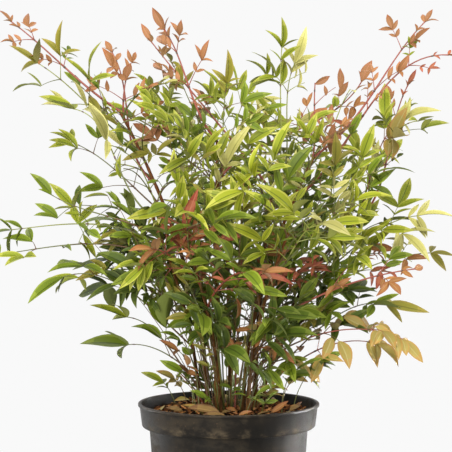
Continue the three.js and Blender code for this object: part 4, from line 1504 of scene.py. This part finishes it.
# Leaflets that lie in front of the canes: where, the compass turn of their tips, length, how steeply
# they rise in degrees, and tint.
LITTER = (
    ((-10, -76), 182, 40, 12, "dry"),
    ((-4, -86), 190, 30, 4, "dry"),
    ((-30, -72), 160, 30, 22, "amber"),
    ((12, -82), 340, 20, 20, "rust"),
    ((34, -80), 6, 20, 12, "dry"),
    ((-56, -50), 200, 22, 16, "dry"),
    ((52, -60), 350, 28, 32, "rust"),
    ((74, -44), 40, 22, 14, "dry"),
)
# Fallen leaflets lie on the chips. Those of the litter lean to the front, by a share of lying flat.
FALLEN = SimpleNamespace(rise=5, lean=0.6, tilt=0.5)
# Fallen leaflets all round: the ring that they lie in, and the radius inside which they stay.
SCATTER = SimpleNamespace(
    count=24,
    ring=(40, 88),
    inside=97,
    length=(12, 23),
    steep=(2, 22),
    tints={"dry": 4, "rust": 2, "amber": 1},
)


def add_sprout(sprout, random, room, stalks, leaves):
    """A short stalk with its leaflets."""
    place, height, compass, lean, size, tint = sprout
    outward = heading(math.radians(compass))
    foot = np.array([*place, SOIL_TOP - SPROUT.buried])
    tip = foot + UP * (height + SPROUT.buried) + outward * lean
    away, up = SPROUT.landing
    landing = (UP * up + outward * away) * SPROUT.land * height
    rib = Curve(foot, foot + UP * SPROUT.launch * height, tip - landing, tip)
    finish = "stalk brown" if tint == "amber" else "stalk green"
    add_soil_stalk(stalks, rib, SPROUT.steps, SPROUT.radii, finish)
    grown = grow_end(random, rib, outward, SPROUT.roll, size, SPROUT.pairs, FINE.pair_size)
    for leaflet in grown:
        add_leaflet(leaves, room, leaflet, tint, random.pick(SHADE_SHARES), random)


def add_fallen(where, compass, length, steep, tint, random, room, leaves, lean=0):
    """A fallen leaflet that lies on the chips, or leans to the front."""
    rise = math.radians(steep)
    centre = np.array([*where, soil_height(*where) + FALLEN.rise * (1 + lean)])
    forward = heading(math.radians(compass)) * math.cos(rise) + UP * math.sin(rise)
    up = UP - [0, lean, 0]
    face = unit(up - forward * (forward @ up))
    tilt = random.between(-FALLEN.tilt, FALLEN.tilt)
    leaflet = SimpleNamespace(
        centre=centre, forward=forward, face=face, tilt=tilt, length=length, breadth=1
    )
    add_leaflet(leaves, room, leaflet, tint, random.pick(SHADE_SHARES), random)


def add_ground_leaves(random, room, stalks, leaves):
    """Sprouts and fallen leaflets round the foot of the plant."""
    for where, *rest in LITTER:
        add_fallen(where, *rest, random, room, leaves, FALLEN.lean)
    for sprout in SPROUTS:
        add_sprout(sprout, random, room, stalks, leaves)
    for number in range(SCATTER.count):
        where = random.between(*SCATTER.ring) * heading(math.radians(GOLDEN_TURN) * number)
        compass, length = random.between(0, 360), random.between(*SCATTER.length)
        tip = where + length * heading(math.radians(compass))
        if math.hypot(*tip) > SCATTER.inside:
            compass += 180
        tint = random.pick(SCATTER.tints)
        steep = random.between(*SCATTER.steep)
        add_fallen(where[:2], compass, length, steep, tint, random, room, leaves)


# ---------------------------------------------------------------- the whole plant


def young_frond(cane, place, number, random):
    """The rib of a small frond that leaves a cane at a place, with its leaflet, habit and tint."""
    turn = GOLDEN_TURN * (number - YOUNG.first_number) + YOUNG.turn_stray * random()
    outward = heading(math.radians(turn))
    rise = math.radians(random.between(*YOUNG.rise))
    way = outward * math.cos(rise) + UP * math.sin(rise)
    root, along = cane.at(place), cane.way(place)
    span = random.between(*YOUNG.length)
    launch = unit(along * RIB.up_cane + outward * RIB.outward)
    tip = root + way * span
    rib = Curve(root, root + launch * RIB.launch * span, tip - outward * RIB.land * span, tip)
    tint = next(tint for height, tint in YOUNG.tints if root[2] < height)
    return rib, (random.between(*YOUNG.leaf), "young", tint)


def add_young_fronds(canes, room, stalks, leaves):
    """Young fronds on every cane, where there is room for their ribs."""
    random = Chances(YOUNG.seed)
    number = YOUNG.first_number
    for name, cane in canes.items():
        first = YOUNG.first_left if name.startswith("left") else YOUNG.first
        count = int(cane.length() * (YOUNG.last - first) / YOUNG.every)
        for place in np.linspace(first, YOUNG.last, count):
            number += 1
            rib, frond = young_frond(cane, place, number, random)
            shares = np.linspace(YOUNG.clear_from, 1, YOUNG.clear_steps)
            path = between_points([rib.at(t) for t in shares])
            if room.free(path):
                room.fill(path)
                sprays = grow_frond(frond, rib, number)
                add_frond(sprays, room, frond[-1], number, stalks, leaves)


def dress_foliage(name, stalks, leaves, tint, *nodes):
    """The two pieces of a frond, or of many small ones together."""
    dress(stalks.piece(f"stalks_{name}"), "cane", *nodes)
    dress(leaves.piece(f"leaves_{name}"), f"leaf_{tint}", *nodes)


def grow_fronds(canes, room):
    """The fronds whose ribs find a clear way, with their sprays and numbers. Their ribs fill the room."""
    places = [0, CANE.collar, *np.linspace(0, 1, CANE.steps + 1)[1:]]
    chains = {name: np.array([cane.at(t) for t in places]) for name, cane in canes.items()}
    ribs, grown = [], {}
    for number, (name, frond) in enumerate({**FRONDS, **INNER_FRONDS}.items()):
        rib = clear_rib(frond, canes, chains, ribs)
        if rib:
            sprays = grow_frond(frond, rib, number, LEAFAGE.get(name, 1), name in SPARSE)
            sprays = broadened(lifted(sprays, LIFTED.get(name, 0)), BROAD.get(name, 1))
            grown[name] = frond, sprays, number
            room.fill(between_points(sprays[0].path))
    return grown


def fill_cane(room, cane):
    """Fills the room of a cane: its middle line, and a line at each of its four sides."""
    line = between_points([cane.at(t) for t in np.linspace(0, 1, CANE.fill_points)])
    for x, y in ((0, 0), (1, 0), (-1, 0), (0, 1), (0, -1)):
        room.fill(line + np.array([x, y, 0]) * CANE.fill_radius)


def add_plant():
    """Canes first, then each frond's own pieces, then the small growth that fills the crown."""
    canes = {name: cane_curve(name) for name in CANES}
    room = Room()
    grown = grow_fronds(canes, room)
    for name, cane in canes.items():
        fill_cane(room, cane)
        add_cane(name, cane)

    inner = Body(), Body()
    for name, (frond, sprays, number) in grown.items():
        tint = frond[-1]
        if name in INNER_FRONDS:
            add_frond(sprays, room, tint, number, *inner)
        else:
            own = Body(), Body()
            add_frond(sprays, room, tint, number, *own, SPRAYS_OF.get(name))
            dress_foliage(name, *own, tint, f"frond_{name}")
    dress_foliage("inner", *inner, "green")

    young = Body(), Body()
    add_young_fronds(canes, room, *young)
    dress_foliage("young", *young, "green")

    low = Body(), Body()
    random = Chances(FINE_SEED * 4)
    add_ground_leaves(random, room, *low)
    for kind in BASAL.values():
        add_basal_leaves(kind, random, room, *low)
    dress_foliage("basal", *low, "deep")


add_plant()


# ---------------------------------------------------------------- pot and soil


def rounded(profile, steps=5):
    """A profile of radii and heights whose corners are rounded off by their own bevels."""
    points = []
    corners = [(np.array(place[:2], float), place[2] if len(place) > 2 else 0) for place in profile]
    for i, (corner, bevel) in enumerate(corners):
        if not bevel:
            points.append(corner)
            continue
        before, after = (unit(corners[n][0] - corner) for n in (i - 1, i + 1))
        for t in np.linspace(0, 1, steps):
            points.append(corner + before * bevel * (1 - t) ** 2 + after * bevel * t * t)
    return points


def lathed(profile, segments):
    """Corners and faces of a profile turned about the upright axis, from the axis to the axis."""
    rings = [(radius, height) for radius, height in profile if radius > 0]
    angles = around(segments)
    corners = []
    for radius, height in rings:
        x, y = radius * np.cos(angles), radius * np.sin(angles)
        corners.append(np.stack([x, y, np.full(segments, height)], axis=1))
    faces = skin_of_rings(len(rings), segments)[:-2]
    poles = [[0, 0, profile[0][1]], [0, 0, profile[-1][1]]]
    corners = np.concatenate([*corners, poles])
    first, last, top = len(corners) - 2, len(corners) - 1, (len(rings) - 1) * segments
    for k in range(segments):
        following = (k + 1) % segments
        faces.append([first, following, k])
        faces.append([last, top + k, top + following])
    return corners, faces


def drilled(piece, drills, sharp):
    """The piece with holes where the drills pass through it, and edges over the angle sharp."""
    modifier = piece.modifiers.new("drilling", "BOOLEAN")
    modifier.operation = "DIFFERENCE"
    modifier.solver = "EXACT"
    modifier.object = drills
    evaluated = piece.evaluated_get(bpy.context.evaluated_depsgraph_get())
    mesh = bpy.data.meshes.new_from_object(evaluated)
    mesh.set_sharp_from_angle(angle=math.radians(sharp))
    piece.modifiers.clear()
    piece.data = mesh
    bpy.data.objects.remove(drills)
    return piece


def add_pot():
    """A tapered wall under a wide collar with a lip, with drain holes in its base."""
    lip = POT.height - POT.lip_depth
    # Radius, height and the bevel that rounds the corner off, where it has one.
    profile = [
        (0, 0),
        (POT.base_radius - POT.foot_bevel, 0, 1.2),
        (POT.base_radius, POT.foot_bevel, 1.2),
        (POT.shoulder_radius, COLLAR, 1.4),
        (POT.band_foot_radius, COLLAR, 2.6),
        (POT.band_top_radius, lip, 0.8),
        (POT.rim_radius, lip, 0.9),
        (POT.rim_radius, POT.height, 1.3),
        (POT.band_top_radius - POT.wall, POT.height, 1.0),
        (POT.band_foot_radius - POT.wall, COLLAR + POT.wall, 1.5),
        (POT.shoulder_radius - POT.wall, COLLAR + POT.wall, 1.5),
        (POT.base_radius - POT.wall, POT.floor, 1.5),
        (0, POT.floor),
    ]
    body, drills = Body(), Body()
    body.add(*lathed(rounded(profile), POT.segments), "pot plastic")
    for angle in around(POT.drain_holes):
        centre = POT.drain_circle * heading(angle)
        drill = [centre - UP * POT.floor, centre + UP * 2 * POT.floor]
        drills.add(*tube(drill, [POT.drain_radius] * 2, POT.drain_sides), "pot plastic")
    shell = drilled(body.piece("pot_shell"), drills.piece("drills"), POT.sharp)
    dress(shell, "pot", "pot")


def add_soil():
    """The mix that fills the pot, up to its lumpy surface."""
    inner = POT.wall + GAP
    outer = POT.band_foot_radius - inner + SOIL.widening
    top = np.linspace(outer, 0, SOIL.rings)
    profile = [
        (0, POT.floor + GAP),
        (POT.base_radius - inner, POT.floor + GAP),
        (POT.shoulder_radius - inner, COLLAR + inner),
        (POT.band_foot_radius - inner - GAP, COLLAR + inner),
        *((radius, RIM) for radius in top),
    ]
    corners, faces = lathed(profile, SOIL.segments)
    for corner in corners:
        if corner[2] == RIM:
            corner[2] = soil_height(*corner[:2])
    body = Body()
    body.add(corners, faces, "potting soil")
    dress(body.piece("soil_block"), "soil", "soil")


# ---------------------------------------------------------------- mulch, strewn by geometry nodes

DENSE = 2e6  # pieces to a square metre before the spacing thins them


def strewing_tree():
    """Strews copies of a piece over a ground, no two nearer than the spacing."""
    tree = bpy.data.node_groups.new("strewn pieces", "GeometryNodeTree")
    for name, kind in (
        ("Ground", "NodeSocketGeometry"),
        ("Piece", "NodeSocketObject"),
        ("Spacing", "NodeSocketFloat"),
        ("Most Tilt", "NodeSocketFloat"),
        ("Smallest", "NodeSocketVector"),
        ("Largest", "NodeSocketVector"),
        ("Seed", "NodeSocketInt"),
        ("Finish", "NodeSocketMaterial"),
    ):
        tree.interface.new_socket(name=name, in_out="INPUT", socket_type=kind)
    tree.interface.new_socket(name="Pieces", in_out="OUTPUT", socket_type="NodeSocketGeometry")

    def node(kind, settings=(), inputs=()):
        made = tree.nodes.new(kind)
        for name, value in dict(settings).items():
            setattr(made, name, value)
        for name, value in dict(inputs).items():
            if isinstance(value, bpy.types.NodeSocket):
                tree.links.new(value, made.inputs[name])
            else:
                made.inputs[name].default_value = value
        return made

    given = node("NodeGroupInput").outputs
    spread = {
        "Mesh": given["Ground"],
        "Distance Min": given["Spacing"],
        "Density Max": DENSE,
        "Seed": given["Seed"],
    }
    points = node("GeometryNodeDistributePointsOnFaces", {"distribute_method": "POISSON"}, spread)
    tilt = given["Most Tilt"]
    back = node("ShaderNodeMath", {"operation": "MULTIPLY"}, {0: tilt, 1: -1.0}).outputs[0]
    low = node("ShaderNodeCombineXYZ", (), {"X": back, "Y": back, "Z": 0.0})
    high = node("ShaderNodeCombineXYZ", (), {"X": tilt, "Y": tilt, "Z": 2 * math.pi})
    turn = {0: low.outputs[0], 1: high.outputs[0], "Seed": given["Seed"]}
    turns = node("FunctionNodeRandomValue", {"data_type": "FLOAT_VECTOR"}, turn)
    size = {0: given["Smallest"], 1: given["Largest"], "Seed": given["Seed"]}
    sizes = node("FunctionNodeRandomValue", {"data_type": "FLOAT_VECTOR"}, size)
    piece = node("GeometryNodeObjectInfo", (), {"Object": given["Piece"]})
    placing = {
        "Points": points.outputs["Points"],
        "Instance": piece.outputs["Geometry"],
        "Rotation": turns.outputs[0],
        "Scale": sizes.outputs[0],
    }
    placed = node("GeometryNodeInstanceOnPoints", (), placing)
    real = node("GeometryNodeRealizeInstances", (), {"Geometry": placed.outputs["Instances"]})
    finish = {"Geometry": real.outputs["Geometry"], "Material": given["Finish"]}
    painted = node("GeometryNodeSetMaterial", (), finish)
    node("NodeGroupOutput", (), {"Pieces": painted.outputs["Geometry"]})
    return tree


def strewn(name, tree, ground, values):
    """A plain mesh of the pieces that the tree strews over a ground."""
    holder = linked(name, ground.data.copy())
    modifier = holder.modifiers.new("strewing", "NODES")
    modifier.node_group = tree
    for item in tree.interface.items_tree:
        if item.in_out == "INPUT" and item.name in values:
            modifier[item.identifier] = values[item.name]
    evaluated = holder.evaluated_get(bpy.context.evaluated_depsgraph_get())
    mesh = bpy.data.meshes.new_from_object(evaluated)
    bpy.data.objects.remove(holder)
    mesh.name = name
    return linked(name, mesh)


# Chips: length, width, thickness, sides, how ragged their outline is, and seed.
CHIPS = {
    "broad": (15, 6.5, 2.2, 9, 0.24, 11),
    "narrow": (19, 3.4, 1.8, 7, 0.3, 12),
    "lump": (4, 3.4, 2.6, 6, 0.3, 13),
}
CHIP_TOP = (0.9, 0.85)  # a chip's upper face beside its lower one, along and across
CHIP_STRAY = 0.5  # how uneven that face is


def chip(name, length, width, thick, sides, ragged, seed):
    """A flat splinter of bark with a ragged outline and an uneven upper face."""
    random = Chances(seed)
    rim = []
    for angle in around(sides):
        reach = random.about(1, ragged)
        rim.append((length / 2 * math.cos(angle) * reach, width / 2 * math.sin(angle) * reach))
    below = [(x, y, -thick / 2) for x, y in rim]
    along, across = CHIP_TOP
    above = [(along * x, across * y, thick / 2 * random.about(1, CHIP_STRAY)) for x, y in rim]
    body = Body()
    body.add(below + above, skin_of_rings(2, sides), "crumb")
    return body.piece(name)


# How far out each layer's pieces may lie, so that none passes into the pot's wall.
MULCH_GROUNDS = {"wide": 102, "middle": 96, "close": 91}
# Layers: ground, chip and finish, and then the inputs of the tree, with the spacing in metres.
LAYER_INPUTS = ("Spacing", "Most Tilt", "Smallest", "Largest", "Seed")
MULCH_LAYERS = {
    "soil_crumbs": ("wide", "lump", "crumb", 0.0042, 1.2, (0.5, 0.5, 0.5), (1.2, 1.2, 1.3), 3),
    "chips_dark": ("middle", "broad", "chip dark", 0.0098, 0.45, (0.5, 0.6, 0.7), (1.1, 1.2, 1.4), 4),
    "chips_brown": ("middle", "broad", "chip brown", 0.0125, 0.6, (0.5, 0.5, 0.7), (1.2, 1.2, 1.6), 5),
    "chips_orange": ("close", "narrow", "chip orange", 0.014, 0.6, (0.5, 0.6, 0.7), (1.4, 1.6, 1.6), 6),
    "shreds_brown": ("close", "narrow", "chip brown", 0.0135, 0.7, (0.5, 0.5, 0.7), (1.3, 1.2, 1.4), 7),
}


def mulch_ground(name, reach, hole=4, above=1, sides=48, rings=14):
    """A surface a little above the soil, round a small hole and out to a radius, to strew pieces on."""
    ground = Body()
    corners = []
    for radius in np.linspace(hole, reach, rings):
        for angle in around(sides):
            x, y = radius * math.cos(angle), radius * math.sin(angle)
            corners.append((x, y, soil_height(x, y) + above))
    ground.add(corners, skin_of_rings(rings, sides)[:-2], "crumb")
    return ground.piece(name)


def add_mulch():
    """Layers of crumbs, chips and shreds on the soil, each one piece."""
    grounds = {name: mulch_ground(name, reach) for name, reach in MULCH_GROUNDS.items()}
    chips = {name: chip(name, *sizes) for name, sizes in CHIPS.items()}
    tree = strewing_tree()
    for name, (ground, piece, finish, *numbers) in MULCH_LAYERS.items():
        values = {"Piece": chips[piece], "Finish": FINISHES[finish]}
        values |= dict(zip(LAYER_INPUTS, numbers))
        dress(strewn(name, tree, grounds[ground], values), "soil")
    for tool in [*grounds.values(), *chips.values()]:
        bpy.data.objects.remove(tool)


add_pot()
add_soil()
add_mulch()


# ---------------------------------------------------------------- stage


def add_stage():
    """A grey floor that fades into a white backdrop, and the lamps."""
    paint = Paint("studio floor", Base_Color=FLOOR.colour, Roughness=0.9)
    length = {"operation": "LENGTH"}
    away = paint.node("ShaderNodeVectorMath", length, {0: paint.place()}, output="Value")
    glow = paint.node("ShaderNodeEmission", inputs={"Color": WHITE, "Strength": 1.0})
    near = Value(paint, paint.shader.outputs[0])
    share = paint.step(away, FLOOR.near, FLOOR.far)
    mixed = paint.node("ShaderNodeMixShader", inputs={0: share, 1: near, 2: glow})
    paint.feed(paint.tree.nodes["Material Output"].inputs["Surface"], mixed)
    mesh = bpy.data.meshes.new("floor")
    rim = [FLOOR.size * heading(angle) + UP * FLOOR.level for angle in around(FLOOR.sides)]
    mesh.from_pydata(rim, [], [list(range(FLOOR.sides))])
    mesh.materials.append(paint.material)
    linked("floor", mesh)

    world = bpy.data.worlds.new("studio")
    world.use_nodes = True
    world.node_tree.nodes["Background"].inputs["Color"].default_value = WHITE
    bpy.context.scene.world = world
    for name, (place, aim, size, power, spread) in LAMPS.items():
        lamp = bpy.data.lights.new(name, "AREA")
        lamp.size, lamp.energy, lamp.spread = size, power, math.radians(spread)
        aimed(linked(name, lamp), place, aim)
    bpy.context.scene.view_settings.view_transform = "Standard"


add_stage()
